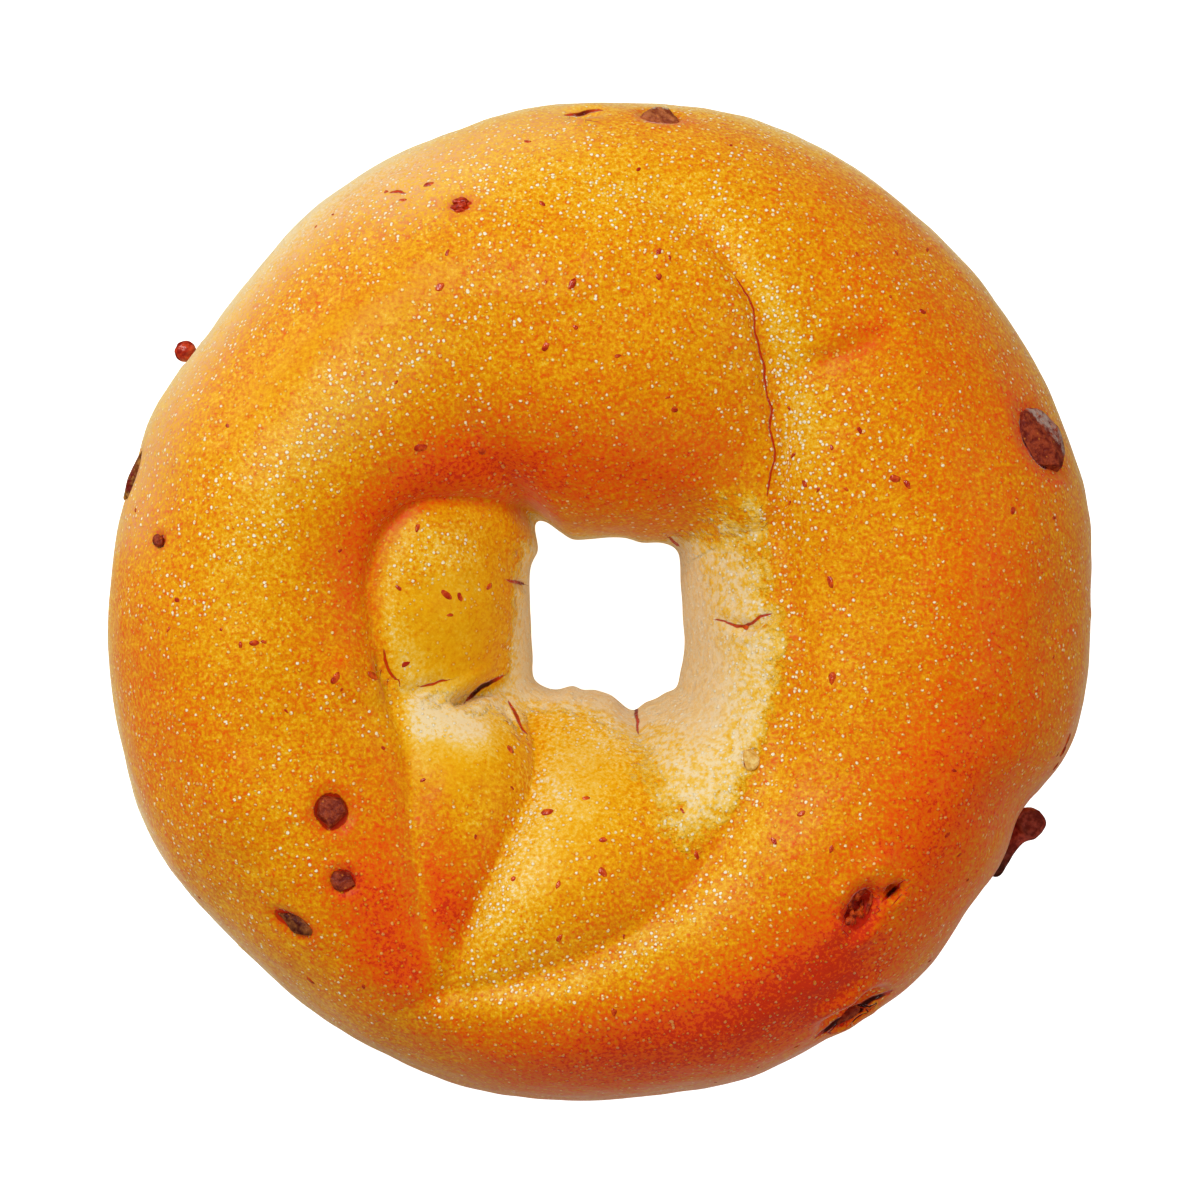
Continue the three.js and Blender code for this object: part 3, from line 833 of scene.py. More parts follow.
# Around each piece the same dark line is drawn where it meets the dough: painted shade in the gap between
# them.
for piece in PIECES:
    from_edge = np.maximum(0, share_of_piece(piece, 0) - 0.76) * piece["size"][1] * 0.5 * MM
    nearer = from_edge < np.minimum(np.abs(crack_and_shade_line_distance), CONTACT_REACH)
    crack_and_shade_line_distance = np.where(nearer, from_edge, crack_and_shade_line_distance)
    crack_and_shade_line_width = np.where(nearer, (0.16 + 0.02 * piece["size"][1]) * MM, crack_and_shade_line_width)
crack_and_shade_line_width *= smoothstep(CRACK_REACH, 0.7 * CRACK_REACH, np.abs(crack_and_shade_line_distance))
crack_and_shade_line_width *= smoothstep(0.7 * WAIST_HEIGHT, 0.9 * WAIST_HEIGHT, crust[:, 2])
store(dough_mesh, "crack_and_shade_line_distance", crack_and_shade_line_distance / MM)
store(dough_mesh, "crack_and_shade_line_width", crack_and_shade_line_width / MM)
print("vertices beside a crack:", int((crack_and_shade_line_width > 0).sum()))

# %% [markdown]
# ## The crust as a material
# Boiled dough bakes to a thin shiny skin full of tiny blisters. Their tops are painted paler than the
# crust between them, partly as paler dough and partly as painted highlight, and the palest carry a
# painted white glint where the light would catch them. Painting them would need a picture; a cell
# pattern gives one blister per cell at their real size, under a millimetre, and the same pattern
# raises them in the bump. The colour comes from one ramp from raw cream to red-brown. Over it lie a
# painted sheen, a pale haze along the lit upper left rim, and, below, the duller brown of the face
# that stood on the tray.

# %% Helpers for node trees
def rgb(red, green, blue):
    """A colour given as screen values from 0 to 255, as the linear values that shaders take."""
    screen = [value / 255 for value in (red, green, blue)]
    return tuple(c / 12.92 if c <= 0.04 else ((c + 0.055) / 1.055) ** 2.4 for c in screen)


class Tree:
    """A material's nodes, with short calls for the kinds used here."""

    def __init__(self, name):
        self.material = bpy.data.materials.new(name)
        self.material.use_nodes = True
        self.nodes = self.material.node_tree.nodes
        self.links = self.material.node_tree.links
        self.shader = self.nodes["Principled BSDF"]

    def put(self, socket, value):
        if isinstance(value, bpy.types.NodeSocket):
            self.links.new(value, socket)
        else:
            socket.default_value = value

    def math(self, operation, *values):
        node = self.nodes.new("ShaderNodeMath")
        node.operation = operation
        for socket, value in zip(node.inputs, values):
            self.put(socket, value)
        return node.outputs[0]

    def step(self, value, low, high, to_low=0.0, to_high=1.0):
        """value between low and high, smoothly remapped to between to_low and to_high."""
        node = self.nodes.new("ShaderNodeMapRange")
        node.interpolation_type = "SMOOTHSTEP"
        for name, given in zip(
            ("Value", "From Min", "From Max", "To Min", "To Max"), (value, low, high, to_low, to_high)
        ):
            self.put(node.inputs[name], given)
        return node.outputs[0]

    def add_part(self, value, amount, pattern, middle=0.0):
        """value plus amount times how far the pattern is above its middle."""
        above = self.math("SUBTRACT", pattern, middle) if middle else pattern
        return self.math("ADD", value, self.math("MULTIPLY", above, amount))

    def between(self, share, a, b):
        """a where share is 0, b where it is 1."""
        return self.math("ADD", a, self.math("MULTIPLY", share, self.math("SUBTRACT", b, a)))

    def object_place(self):
        """The place on the object, turned so that no noise lattice lies level with the surface."""
        turned = self.nodes.new("ShaderNodeVectorRotate")
        turned.rotation_type = "EULER_XYZ"
        turned.inputs["Rotation"].default_value = (0.7, 0.4, 0.2)
        self.links.new(self.nodes.new("ShaderNodeTexCoord").outputs["Object"], turned.inputs["Vector"])
        return turned.outputs["Vector"]

    def attribute(self, name):
        node = self.nodes.new("ShaderNodeAttribute")
        node.attribute_name = name
        return node.outputs["Fac"]

    def noise(self, place, size, detail=2.0, roughness=0.5):
        """Noise whose blobs are about size metres across."""
        node = self.nodes.new("ShaderNodeTexNoise")
        self.links.new(place, node.inputs["Vector"])
        node.inputs["Scale"].default_value = 1 / size
        node.inputs["Detail"].default_value = detail
        node.inputs["Roughness"].default_value = roughness
        return node.outputs["Fac"]

    def cells(self, place, size):
        """Distance from the middle of the nearest cell, and a random value of its own for each cell."""
        node = self.nodes.new("ShaderNodeTexVoronoi")
        self.links.new(place, node.inputs["Vector"])
        node.inputs["Scale"].default_value = 1 / size
        split = self.nodes.new("ShaderNodeSeparateColor")
        self.links.new(node.outputs["Color"], split.inputs["Color"])
        return node.outputs["Distance"], split.outputs[0]

    def warped(self, place, size, reach):
        """The place moved about by up to reach, so that round shapes come out uneven."""
        node = self.nodes.new("ShaderNodeTexNoise")
        self.links.new(place, node.inputs["Vector"])
        node.inputs["Scale"].default_value = 1 / size
        node.inputs["Detail"].default_value = 1
        moved = self.nodes.new("ShaderNodeVectorMath")
        moved.operation = "MULTIPLY_ADD"
        self.links.new(node.outputs["Color"], moved.inputs[0])
        moved.inputs[1].default_value = (2 * reach, 2 * reach, 2 * reach)
        self.links.new(place, moved.inputs[2])
        return moved.outputs[0]

    def ramp(self, value, stops):
        node = self.nodes.new("ShaderNodeValToRGB")
        self.links.new(value, node.inputs["Fac"])
        elements = node.color_ramp.elements
        while len(elements) < len(stops):
            elements.new(0.5)
        for element, (position, color) in zip(elements, stops):
            element.position = position
            element.color = (*color, 1)
        return node.outputs["Color"]

    def mix(self, share, under, over):
        node = self.nodes.new("ShaderNodeMix")
        node.data_type = "RGBA"
        self.put(node.inputs["Factor"], share)
        self.put(node.inputs["A"], under if isinstance(under, bpy.types.NodeSocket) else (*under, 1))
        self.put(node.inputs["B"], over if isinstance(over, bpy.types.NodeSocket) else (*over, 1))
        return node.outputs["Result"]

    def bump(self, height, distance, strength=1.0):
        node = self.nodes.new("ShaderNodeBump")
        node.inputs["Strength"].default_value = strength
        node.inputs["Distance"].default_value = distance
        self.links.new(height, node.inputs["Height"])
        self.links.new(node.outputs["Normal"], self.shader.inputs["Normal"])
        self.links.new(node.outputs["Normal"], self.shader.inputs["Coat Normal"])


# %% The crust
CRUST_RAMP = [
    (0.0, rgb(244, 220, 168)),
    (0.15, rgb(242, 196, 76)),
    (0.3, rgb(238, 174, 8)),
    (0.45, rgb(230, 148, 0)),
    (0.6, rgb(224, 118, 0)),
    (0.75, rgb(230, 94, 0)),
    (0.9, rgb(230, 72, 8)),
    (1.0, rgb(210, 48, 12)),
]
# The flat underside, which browned on the tray.
SOLE_RAMP = [
    (0.3, rgb(222, 164, 84)),
    (0.5, rgb(196, 124, 52)),
    (0.7, rgb(160, 88, 34)),
]
# The top of a blister, by how browned the crust around it is: partly paler dough, partly painted
# highlight.
BLISTER_TOP_AND_HIGHLIGHT_RAMP = [
    (0.15, rgb(255, 244, 214)),
    (0.3, rgb(255, 228, 150)),
    (0.45, rgb(250, 205, 80)),
    (0.6, rgb(246, 184, 36)),
    (0.8, rgb(230, 145, 8)),
    (1.0, rgb(222, 130, 14)),
]


def make_crust():
    tree = Tree("crust")
    place = tree.object_place()
    patches = tree.noise(place, 11 * MM, 3)
    clouds = tree.noise(place, 2 * MM, 2)
    grain = tree.noise(place, 0.4 * MM, 2, 0.6)

    # Blisters: how thickly they stand, which cells hold one, and the darker crust around each. The paler
    # tops and the white glints are partly painted highlight.
    thick = tree.add_part(tree.attribute("blisters_and_sparkle"), 0.3, clouds)
    thick = tree.add_part(thick, 0.9, tree.noise(place, 5 * MM, 2), 0.5)
    distance, chance = tree.cells(tree.warped(place, 0.5 * MM, 0.11 * MM), 0.54 * MM)
    spare = tree.math("SUBTRACT", thick, chance)
    reach = tree.step(spare, 0.0, 0.5, 0.16, 0.39)
    round_top = tree.step(tree.math("DIVIDE", distance, reach), 1.0, 0.6)
    small = tree.math("MULTIPLY", round_top, tree.step(spare, 0.0, 0.12))
    painted_glint = tree.math("MULTIPLY", round_top, tree.step(spare, 0.34, 0.6))
    around = tree.math("MULTIPLY", tree.step(distance, 0.34, 0.42), tree.step(distance, 0.62, 0.5))
    around = tree.math("MULTIPLY", around, tree.step(spare, 0.0, 0.1))

    # How browned each spot is, with the painted light and shade that the strokes carry: the strokes, then
    # patches, clouds and a fine grain.
    roughened = tree.step(tree.attribute("blisters_and_sparkle"), 0.1, 0.42, 0.4, 1.1)
    browning_and_painted_light = tree.attribute("browning_and_painted_light")
    for pattern, amount in ((patches, 0.12), (clouds, 0.2), (grain, roughened)):
        browning_and_painted_light = tree.add_part(browning_and_painted_light, amount, pattern, 0.5)
    browning_and_painted_light = tree.add_part(browning_and_painted_light, 0.08, around)
    flecks = tree.step(tree.noise(place, 0.6 * MM, 2), 0.4, 0.3)
    browning_and_painted_light = tree.add_part(browning_and_painted_light, 0.13, tree.math("MULTIPLY", flecks, roughened))

    # Bare dough has a ragged edge and its own paler mottling.
    wrinkles = tree.noise(place, 0.9 * MM, 3, 0.65)
    ragged = tree.math("ADD", wrinkles, tree.noise(place, 2.6 * MM, 3, 0.7))
    bare = tree.step(tree.add_part(tree.attribute("bare"), 0.9, ragged, 1.0), 0.36, 0.72)
    paste = tree.add_part(tree.add_part(0.08, 0.8, wrinkles, 0.5), 0.5, grain, 0.5)
    browning_and_painted_light = tree.between(bare, browning_and_painted_light, tree.math("MINIMUM", paste, 0.3))

    # The crust's colour, then the palest dough, the blister tops with their painted glints, the painted
    # sheen and the underside.
    color = tree.ramp(browning_and_painted_light, CRUST_RAMP)
    color = tree.mix(tree.step(tree.attribute("bare"), 1.05, 1.5, 0.0, 0.5), color, rgb(240, 216, 176))
    # Blister tops are painted paler, partly as paler dough and partly as painted highlight; the palest get
    # a painted white glint, fewer on darker crust.
    color = tree.mix(tree.math("MULTIPLY", small, 0.8), color, tree.ramp(browning_and_painted_light, BLISTER_TOP_AND_HIGHLIGHT_RAMP))
    painted_glint = tree.math("MULTIPLY", painted_glint, tree.step(browning_and_painted_light, 0.42, 0.68, 0.95, 0.1))
    color = tree.mix(painted_glint, color, rgb(255, 244, 214))
    # Painted sheen: a pale haze mixed into the colour along the lit upper left rim.
    painted_sheen = tree.math("MULTIPLY", tree.attribute("painted_sheen"), tree.step(grain, 0.38, 0.62, 0.3, 1.5))
    color = tree.mix(painted_sheen, color, rgb(244, 224, 180))
    sole = tree.ramp(tree.math("MULTIPLY", tree.math("ADD", patches, clouds), 0.5), SOLE_RAMP)
    covered = tree.math("MULTIPLY", tree.attribute("sole"), tree.math("SUBTRACT", 1.0, bare))
    color = tree.mix(covered, color, sole)

    # Cracks and the lines around the pieces wander a little; the wide ones have a near-black core, painted
    # shade deep inside the gap.
    wander = tree.math("MULTIPLY", tree.math("SUBTRACT", clouds, 0.5), 0.5)
    line = tree.math("ABSOLUTE", tree.math("ADD", tree.attribute("crack_and_shade_line_distance"), wander))
    width = tree.attribute("crack_and_shade_line_width")
    across = tree.math("DIVIDE", line, tree.math("MAXIMUM", width, 0.01))
    crack = tree.math("MULTIPLY", tree.step(across, 1.0, 0.5), tree.step(width, 0.03, 0.09))
    shade_core = tree.math("MULTIPLY", tree.step(across, 0.85, 0.35), tree.step(width, 0.2, 0.3))
    color = tree.mix(tree.math("MULTIPLY", crack, 0.92), color, rgb(196, 28, 0))
    color = tree.mix(tree.math("MULTIPLY", shade_core, 0.95), color, rgb(34, 4, 0))
    tree.put(tree.shader.inputs["Base Color"], color)

    # A thin glaze and a faint sheen; blisters, grain and wrinkles stand up, cracks lie low.
    tree.shader.inputs["Roughness"].default_value = 0.5
    tree.shader.inputs["Specular IOR Level"].default_value = 0.06
    tree.shader.inputs["Coat Weight"].default_value = 0.08
    tree.shader.inputs["Coat IOR"].default_value = 1.5
    tree.shader.inputs["Coat Roughness"].default_value = 0.26
    tree.shader.inputs["Sheen Weight"].default_value = 0.4
    tree.shader.inputs["Sheen Tint"].default_value = (0.9, 0.9, 0.86, 1)
    tree.shader.inputs["Sheen Roughness"].default_value = 0.3
    height = tree.math("ADD", tree.math("MULTIPLY", small, 1.6), tree.math("MULTIPLY", grain, 0.8))
    height = tree.math("ADD", height, tree.math("MULTIPLY", clouds, 3.0))
    height = tree.math("ADD", height, tree.math("MULTIPLY", tree.math("MULTIPLY", wrinkles, bare), 7.0))
    height = tree.math("SUBTRACT", height, tree.math("MULTIPLY", crack, 2.0))
    tree.bump(height, 0.05 * MM)
    return tree.material


dough_mesh.materials.append(make_crust())

# %% [markdown]
# ## Chips of nut
# Chopped nut breaks along flat faces with slightly soft edges. Each chip starts as a fine ball, and
# every vertex that stands beyond one of a few planes is pressed back onto it, which leaves flat
# facets with plenty of vertices. A little noise then roughens it. Cutting the ball with real
# planes would leave large flat faces that can't be roughened.

# %% Make a chip
# Facets of the pieces that show best: a plane's direction (along, across, outwards) and distance.
FACETS = {
    "nut_piece_right": [
        ((0, 0.3, 0.95), 0.27),
        ((0.25, -0.5, 0.83), 0.24),
        ((-0.35, -0.6, 0.72), 0.3),
        ((0.85, 0.5, 0.1), 0.4),
        ((-0.85, 0.5, 0.1), 0.38),
        ((1, -0.25, 0.2), 0.42),
        ((-0.9, -0.4, 0.1), 0.44),
        ((0, 1, 0.2), 0.4),
    ],
    "nut_piece_top": [
        ((0, 0.1, 1), 0.26),
        ((0.8, -0.6, 0.2), 0.33),
        ((-0.85, -0.5, 0.2), 0.34),
        ((0, -1, 0.3), 0.36),
        ((0.2, 0.7, 0.7), 0.33),
    ],
    "nut_piece_lower_left": [
        ((0, 0.1, 1), 0.3),
        ((0.75, 0.6, 0.25), 0.29),
        ((0.7, -0.75, 0.25), 0.33),
        ((-0.35, 1, 0.2), 0.38),
        ((-0.2, -1, 0.2), 0.35),
        ((-1, 0.2, 0.25), 0.33),
        ((-0.75, -0.7, 0.3), 0.39),
    ],
}


def pressed_ball(seed, facets, fineness):
    """A ball one unit wide, flattened by the given facets or by that many random ones."""
    bm = bmesh.new()
    bmesh.ops.create_icosphere(bm, subdivisions=fineness, radius=0.5)
    draws = np.random.default_rng(seed)
    co = np.array([v.co for v in bm.verts])
    if isinstance(facets, int):
        facets = [(draws.normal(size=3), draws.uniform(0.3, 0.42)) for _ in range(facets)]
        facets.append(((draws.uniform(-0.2, 0.2), draws.uniform(-0.2, 0.2), 1), 0.34))
    for direction, distance in facets:
        normal = unit(np.array(direction))
        beyond = np.maximum(0, co @ normal - distance)
        co = co - beyond[:, None] * normal
    return bm, co


def put_in_place(bm, co, seat, size, proud):
    """Scales a unit shape and sets it into its seat."""
    here, along, across, outwards = seat
    length, width, thickness = (side * MM for side in size)
    middle = here + outwards * (proud - 0.5) * thickness
    placed = middle + co @ np.array((length * along, width * across, thickness * outwards))
    for vertex, position in zip(bm.verts, placed):
        vertex.co = position
    bm.normal_update()  # the next step reads each face's normal, which is still the old one
    bmesh.ops.recalc_face_normals(bm, faces=bm.faces[:])


def finished_piece(bm, name, material, node=None):
    mesh = bpy.data.meshes.new(name)
    bm.to_mesh(mesh)
    bm.free()
    mesh.polygons.foreach_set("use_smooth", [True] * len(mesh.polygons))
    mesh.materials.append(material)
    piece = bpy.data.objects.new(name, mesh)
    bpy.context.scene.collection.objects.link(piece)
    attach(piece, "root")
    if node:
        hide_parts(node)
    return piece


def make_chip(piece, material, seed):
    bm, co = pressed_ball(seed, FACETS.get(piece["node"], 9), 4)
    thin = piece.get("taper", 0) * (1 - smoothstep(-0.5, 0.15, co[:, 0]))
    co[:, 1:] *= (1 - thin)[:, None]
    rough = np.array([noise.noise(point) for point in (co * 5 + seed).tolist()])
    fine = np.array([noise.noise(point) for point in (co * 14 + seed).tolist()])
    co = co * (1 + 0.05 * rough + 0.02 * fine)[:, None]
    put_in_place(bm, co, piece["seat"], piece["size"], piece["proud"])
    name = piece["node"].replace("_piece", "") + "_chip"
    chip = finished_piece(bm, name, material, piece["node"])
    low, high = piece.get("dusty", (1, 2))
    store(chip.data, "dusty", smoothstep(low, high, co[:, 1] - 0.2 * co[:, 0]))


# %% Finishes of the chips
def make_nut(name, dark, light, dust):
    """Chopped nut: mottled between two browns, with streaks of another colour on its dusty side."""
    tree = Tree(name)
    place = tree.object_place()
    mottle = tree.noise(place, 0.8 * MM, 4, 0.65)
    color = tree.mix(tree.step(mottle, 0.36, 0.64), dark, light)
    dusty = tree.math("MULTIPLY", tree.attribute("dusty"), tree.noise(place, 0.7 * MM, 3, 0.7))
    color = tree.mix(tree.step(dusty, 0.34, 0.6), color, dust)
    distance, chance = tree.cells(place, 0.5 * MM)
    point = tree.math("MULTIPLY", tree.step(distance, 0.32, 0.1), tree.step(chance, 0.3, 0.2))
    color = tree.mix(tree.math("MULTIPLY", point, 0.7), color, rgb(214, 120, 36))
    tree.put(tree.shader.inputs["Base Color"], color)
    tree.shader.inputs["Roughness"].default_value = 0.45
    tree.shader.inputs["Specular IOR Level"].default_value = 0.2
    tree.shader.inputs["Coat Weight"].default_value = 0.12
    tree.shader.inputs["Coat Roughness"].default_value = 0.2
    tree.bump(mottle, 0.4 * MM)
    return tree.material


BROWN_NUT = make_nut("brown nut", rgb(134, 54, 22), rgb(190, 108, 56), rgb(206, 184, 150))
NUT = make_nut("nut", rgb(112, 26, 14), rgb(166, 66, 30), rgb(176, 146, 132))
PALE_NUT = make_nut("pale nut", rgb(226, 168, 66), rgb(246, 212, 130), rgb(250, 226, 170))
OLIVE_NUT = make_nut("olive nut", rgb(84, 34, 12), rgb(190, 138, 60), rgb(120, 16, 6))
DARK_NUT = make_nut("dark nut", rgb(78, 16, 8), rgb(150, 84, 34), rgb(150, 140, 90))
TORN_NUT = make_nut("torn nut", rgb(116, 14, 2), rgb(212, 78, 10), rgb(220, 130, 50))
FINISHES = {
    "nut_piece_top": BROWN_NUT,
    "nut_crumb_by_hole": PALE_NUT,
    "nut_sliver_left_edge": OLIVE_NUT,
    "nut_sliver_lower_left": DARK_NUT,
    "nut_piece_in_tear": TORN_NUT,
}


for number, piece in enumerate(PIECES):
    if piece["node"].startswith("nut") and piece["node"] != "nut_piece_in_tear":
        make_chip(piece, FINISHES.get(piece["node"], NUT), number)

# %% [markdown]
# The piece in the tear broke up while the dough stretched around it, so it is a cluster of shards
# that lie roughly the same way.

# %% Shards in the tear
def make_shards(piece, material, count, length, width):
    """A cluster of shards this long and wide, in millimetres, spread over the piece's own size."""
    everything = bmesh.new()
    draws = np.random.default_rng(count)
    spread_along, spread_across, _ = (side * MM for side in piece["size"])
    middle, along, across, outwards = piece["seat"]
    for number in range(count):
        point = middle + along * spread_along * draws.uniform(-0.36, 0.36)
        point = point + across * spread_across * draws.uniform(-0.4, 0.4)
        here = crust[np.argmin(np.sum((crust - point) ** 2, axis=1))]
        turn = math.radians(draws.uniform(-35, 35))
        seat = (here, *turned_by(turn, along, across), outwards)
        bm, co = pressed_ball(40 + number, 6, 3)
        size = (length * draws.uniform(0.7, 1.3), width * draws.uniform(0.7, 1.3), width)
        put_in_place(bm, co, seat, size, 0.62)
        shard = bpy.data.meshes.new("shard")
        bm.to_mesh(shard)
        bm.free()
        everything.from_mesh(shard)
        bpy.data.meshes.remove(shard)
    name = piece["node"].replace("_piece", "") + "_shards"
    finished_piece(everything, name, material, piece["node"])


make_shards(seats_of["nut_piece_in_tear"], TORN_NUT, 13, 1.7, 0.6)
print("pieces of nut:", sum(piece["node"].startswith("nut") for piece in PIECES))

# %% [markdown]
# ## Bits of fruit
# The fruit baked to dark glossy lumps. The crumb is a few short shards, the bead a ball with one
# flattened spot, and the stalk is turned: a profile with a round head, a thin neck and a thicker
# foot, spun around its own axis, bent a little and roughened.

# %% Fruit crumb and bead
def make_fruit(name, dark, light, roughness):
    tree = Tree(name)
    place = tree.object_place()
    mottle = tree.noise(place, 0.7 * MM, 3, 0.6)
    color = tree.mix(tree.step(mottle, 0.38, 0.66), dark, light)
    # The toasted foot and stem, and on the stalk the painted shade on one side of its head, turn towards a
    # dark brown.
    color = tree.mix(tree.attribute("toasted_and_shaded"), color, rgb(44, 26, 14))
    tree.put(tree.shader.inputs["Base Color"], color)
    tree.shader.inputs["Roughness"].default_value = roughness
    tree.shader.inputs["Specular IOR Level"].default_value = 0.2
    tree.shader.inputs["Coat Weight"].default_value = 1.0
    tree.shader.inputs["Coat Roughness"].default_value = 0.08
    tree.bump(mottle, 0.18 * MM)
    return tree.material


FRUIT = make_fruit("fruit", rgb(128, 30, 18), rgb(190, 76, 56), 0.35)
RED_FRUIT = make_fruit("red fruit", rgb(150, 20, 6), rgb(212, 66, 26), 0.4)
SPECK_FRUIT = make_fruit("fruit specks", rgb(176, 30, 2), rgb(222, 84, 8), 0.5)
make_shards(seats_of["fruit_crumb_top"], RED_FRUIT, 5, 1.4, 0.8)


def make_bead(piece):
    bm, co = pressed_ball(1, [((0.3, -0.2, 1), 0.46)], 4)
    rough = np.array([noise.noise(point) for point in (co * 4).tolist()])
    co = co * (1 + 0.05 * rough)[:, None]
    put_in_place(bm, co, piece["seat"], piece["size"], piece["proud"])
    finished_piece(bm, "fruit_bead_ball", RED_FRUIT, "fruit_bead")


make_bead(seats_of["fruit_bead"])

# %% Fruit stalk
# The profile, as distance from the foot's end and radius, both as shares of length and width.
STALK_PROFILE = [
    (0, 0), (0.01, 0.16), (0.05, 0.27), (0.13, 0.29), (0.24, 0.25), (0.4, 0.21), (0.53, 0.22),
    (0.62, 0.3), (0.7, 0.43), (0.8, 0.5), (0.9, 0.45), (0.97, 0.27), (1, 0),
]


def make_stalk(piece):
    bm = bmesh.new()
    profile = smooth_path([(x, r, 0) for x, r in STALK_PROFILE], 4)
    profile[[0, -1], 1] = 0
    verts = [bm.verts.new((x - 0.5, max(0, r), 0)) for x, r, _ in profile]
    edges = [bm.edges.new(pair) for pair in zip(verts[:-1], verts[1:])]
    bmesh.ops.spin(
        bm, geom=verts + edges, cent=(0, 0, 0), axis=(1, 0, 0), angle=2 * math.pi, steps=36, use_merge=True
    )
    bmesh.ops.remove_doubles(bm, verts=bm.verts[:], dist=0.0005)
    co = np.array([v.co for v in bm.verts])
    share = co[:, 0] + 0.5
    rough = np.array([noise.noise(point) for point in (co * (7, 3, 3)).tolist()])
    co[:, 1:] *= (1 + 0.16 * rough)[:, None]
    flat_side = 0.5 - 0.2 * smoothstep(0.55, 0.8, share)
    co[:, 1] = np.minimum(co[:, 1], flat_side)
    co[:, 1] += 0.25 * (share - 0.5) ** 2
    lean = math.radians(piece["lean"])
    here, along, across, outwards = piece["seat"]
    outwards, along = turned_by(lean, outwards, along)
    put_in_place(bm, co, (here, along, across, outwards), piece["size"], piece["proud"])
    stalk = finished_piece(bm, "fruit_stalk_turned", FRUIT, "fruit_stalk")
    # One side of the head is painted darker: painted shade, added to the toasted foot and stem.
    shaded = smoothstep(0.2, 0.4, co[:, 1]) * smoothstep(0.6, 0.7, share)
    store(stalk.data, "toasted_and_shaded", 0.85 * (1 - smoothstep(0.1, 0.68, share)) + 0.5 * shaded)
    return stalk


stalk = make_stalk(seats_of["fruit_stalk"])
print("stalk vertices:", len(stalk.data.vertices))

# %% [markdown]
# ## Specks
# Dozens of tiny crumbs of fruit and nut skin, well under a millimetre, show as red-brown specks.
# The larger ones are listed one by one and the rest scattered; each is a small pressed ball set
# almost flush, and all of them are one mesh.

# %% Specks in the crust
# x, y and width, in millimetres, seen from above.
SPECKS = [
    (-17.8, 43.5, 0.9), (-20.8, 41.6, 0.6), (-22.4, 42.5, 0.5), (-6.1, 41, 0.5), (-16, 36, 0.5),
    (-16.3, 32.3, 0.9), (-2.9, 32.7, 0.9), (-5.6, 26.4, 0.8), (-2.4, 28.5, 0.5), (6, 36.3, 0.6),
    (6, 33.4, 0.6), (2, 25.5, 0.5), (7.7, 19.5, 0.6), (-18.4, 15.7, 0.9), (-12.4, 15.5, 0.8),
    (-16.2, 0.5, 0.9), (-14.2, 0.2, 0.6), (-11.3, 1.3, 0.6), (-15.6, -1.5, 0.5),
    (-20.2, -6.7, 0.6), (-9.2, -15.4, 0.7), (-1.4, -20.3, 0.6), (-5.5, -21.8, 0.9),
    (-4.3, -29.8, 0.6), (0.3, -28.4, 0.9), (15, -2.8, 0.9), (21, -22.3, 0.8), (23.9, -8, 0.9),
    (24, 2, 0.7), (24.2, -25.8, 0.6), (-27.5, -8.2, 0.9), (-23.6, -8, 0.8), (-36, -4.6, 0.7),
    (-37.5, -4.8, 0.6), (-35, -4.5, 0.5), (21, 12, 0.7), (22.5, 11.5, 0.5), (48.9, -14.6, 1),
    (48.4, -16, 1), (47.8, -17.2, 0.8), (30.4, 12.7, 1), (31.6, 12, 0.7), (24, 15.7, 0.5),
    (27, 17.9, 0.5), (20.1, 15.2, 0.5), (33.5, 29.7, 0.6), (-4.1, -34.9, 0.6), (2.4, -34.6, 0.5),
    (-9, -29, 0.5), (9.9, -26.6, 0.7), (8.7, -22.1, 0.5), (0.4, -24.9, 0.7), (17.8, -24.9, 0.5),
    (-30.3, -39.5, 0.7), (1.4, -42.9, 0.7), (-18.6, 7.5, 0.6),
]
SCATTERED_SPECKS = 45


def make_specks():
    everything = bmesh.new()
    draws = np.random.default_rng(11)
    wanted = [(x * MM, y * MM, width) for x, y, width in SPECKS]
    turns = draws.uniform(0, 360, SCATTERED_SPECKS)
    scattered = crust_point(turns, draws.uniform(25, 140, SCATTERED_SPECKS))
    wanted += [(x, y, draws.uniform(0.32, 0.55)) for x, y, _ in scattered]
    upper = crust[:, 2] > WAIST_HEIGHT
    for number, (x, y, width) in enumerate(wanted):
        away2 = (seen_x - x) ** 2 + (seen_y - y) ** 2 + np.where(upper, 0, 1)
        point = crust[np.argmin(away2)]
        seat = seat_at(point, draws.uniform(0, 180), 0)
        bm, co = pressed_ball(100 + number, 7, 2)
        size = (width * draws.uniform(1.3, 2.2), width * draws.uniform(0.8, 1.2), 0.5 * width)
        put_in_place(bm, co, seat, size, 0.36)
        speck = bpy.data.meshes.new("speck")
        bm.to_mesh(speck)
        bm.free()
        everything.from_mesh(speck)
        bpy.data.meshes.remove(speck)
    finished_piece(everything, "fruit_specks", SPECK_FRUIT)


make_specks()
print("specks:", len(SPECKS) + SCATTERED_SPECKS)

# %% [markdown]
# ## The studio
# A white table, a soft key light from the upper left, a low light that catches the rim on the same
# side, and two weak fills opposite. The sky is brighter low down, where a white table would throw
# light back, and only the key and rim lights are mirrored in the glaze, so its shine stays small.

# %% Table
TABLE_GAP = 0.1 * MM  # keeps the table just clear of the bagel's flat face

bpy.ops.mesh.primitive_plane_add(size=6, location=(0, 0, -TABLE_GAP))
floor = bpy.context.object
floor.name = "floor"


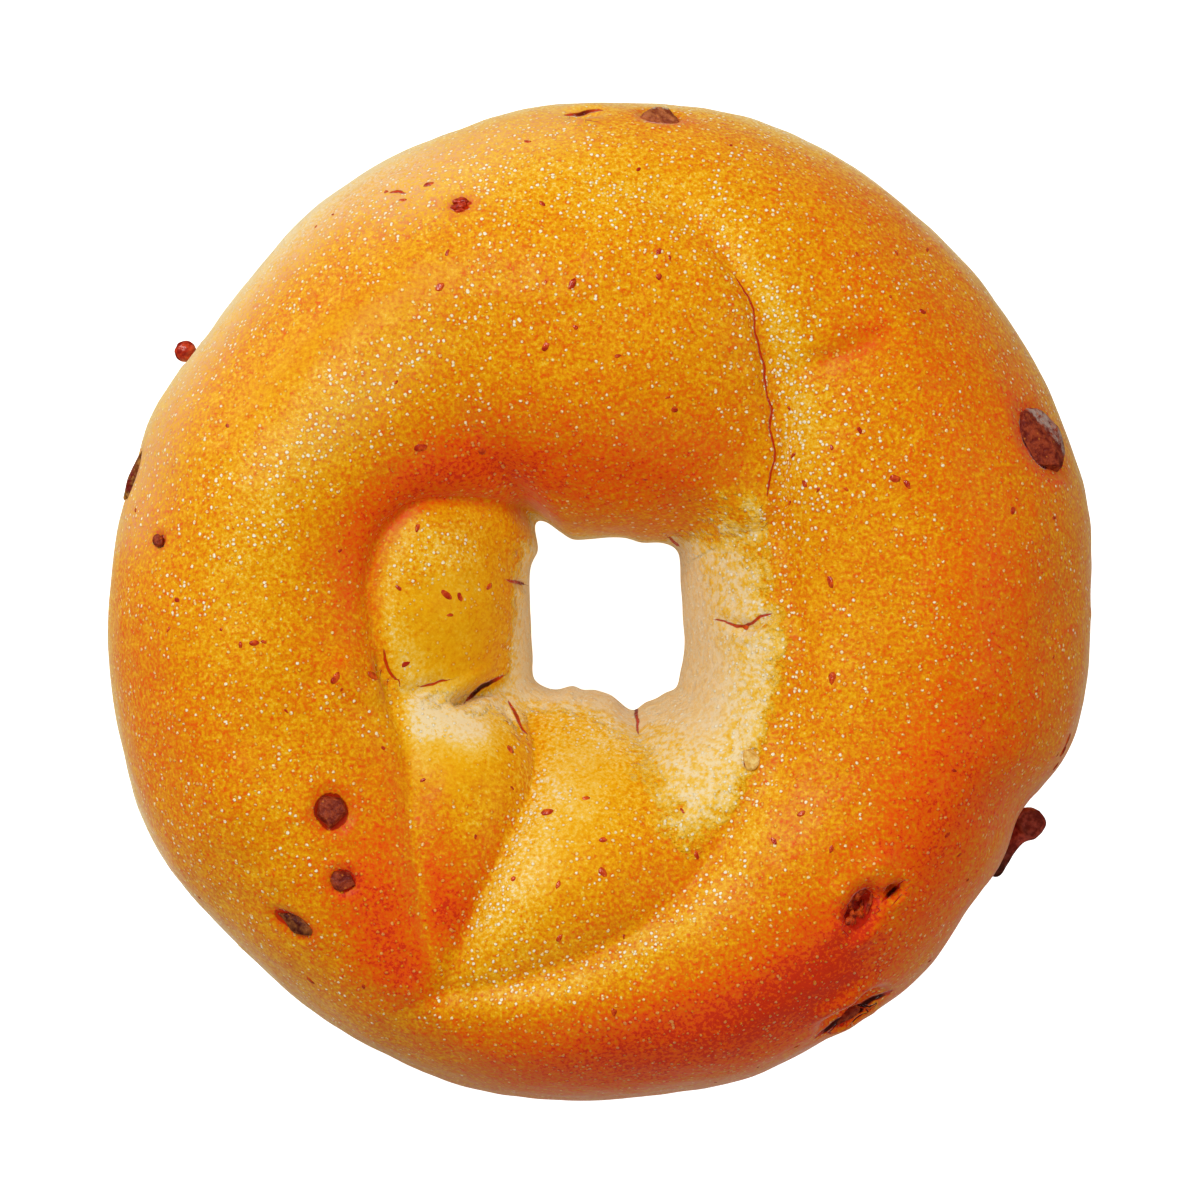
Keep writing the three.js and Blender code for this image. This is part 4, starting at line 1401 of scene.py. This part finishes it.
def make_table():
    tree = Tree("table")
    tree.shader.inputs["Base Color"].default_value = (0.9, 0.9, 0.9, 1)
    tree.shader.inputs["Roughness"].default_value = 0.9
    tree.shader.inputs["Emission Color"].default_value = (1, 1, 1, 1)
    tree.shader.inputs["Emission Strength"].default_value = 1.0
    return tree.material


floor.visible_diffuse = False
floor.visible_glossy = False
floor.data.materials.append(make_table())


# %% Lights
def soft_light(name, location, size, power):
    data = bpy.data.lights.new(name, "AREA")
    data.shape = "DISK"
    data.size = size
    data.energy = power
    light = bpy.data.objects.new(name, data)
    light.location = location
    light.rotation_euler = (-Vector(location)).to_track_quat("-Z", "Y").to_euler()
    bpy.context.scene.collection.objects.link(light)
    return light


soft_light("key", (-0.47, 0.52, 0.93), 0.5, 6.1)
for name, place, power in (("fill right", (0.8, 0.1, 0.7), 3.2), ("fill below", (0.1, -0.8, 0.7), 2)):
    fill = soft_light(name, place, 0.8, power)
    fill.visible_glossy = False
soft_light("rim", (-1.1, 1, 0.12), 0.6, 5)
print("lights:", len(bpy.data.lights))

# %% Sky: brighter low down, and a little brighter at the upper left than at the lower right
world = bpy.data.worlds.new("studio")
world.use_nodes = True
sky = world.node_tree.nodes
sky_links = world.node_tree.links
direction = sky.new("ShaderNodeSeparateXYZ")
sky_links.new(sky.new("ShaderNodeTexCoord").outputs["Generated"], direction.inputs["Vector"])
by_height = sky.new("ShaderNodeMapRange")
for name, value in (("From Min", -0.3), ("From Max", 0.3), ("To Min", 0.82), ("To Max", 0.31)):
    by_height.inputs[name].default_value = value
sky_links.new(direction.outputs["Z"], by_height.inputs["Value"])
sideways = sky.new("ShaderNodeMath")
sideways.operation = "SUBTRACT"
sky_links.new(direction.outputs["Y"], sideways.inputs[0])
sky_links.new(direction.outputs["X"], sideways.inputs[1])
strength = sky.new("ShaderNodeMath")
strength.operation = "MULTIPLY_ADD"
strength.inputs[1].default_value = 0.2
sky_links.new(sideways.outputs[0], strength.inputs[0])
sky_links.new(by_height.outputs["Result"], strength.inputs[2])
sky_links.new(strength.outputs[0], sky["Background"].inputs["Strength"])
sky["Background"].inputs["Color"].default_value = (1, 1, 1, 1)
world.cycles_visibility.glossy = False
bpy.context.scene.world = world
bpy.context.scene.view_settings.view_transform = "Standard"
print("studio ready")
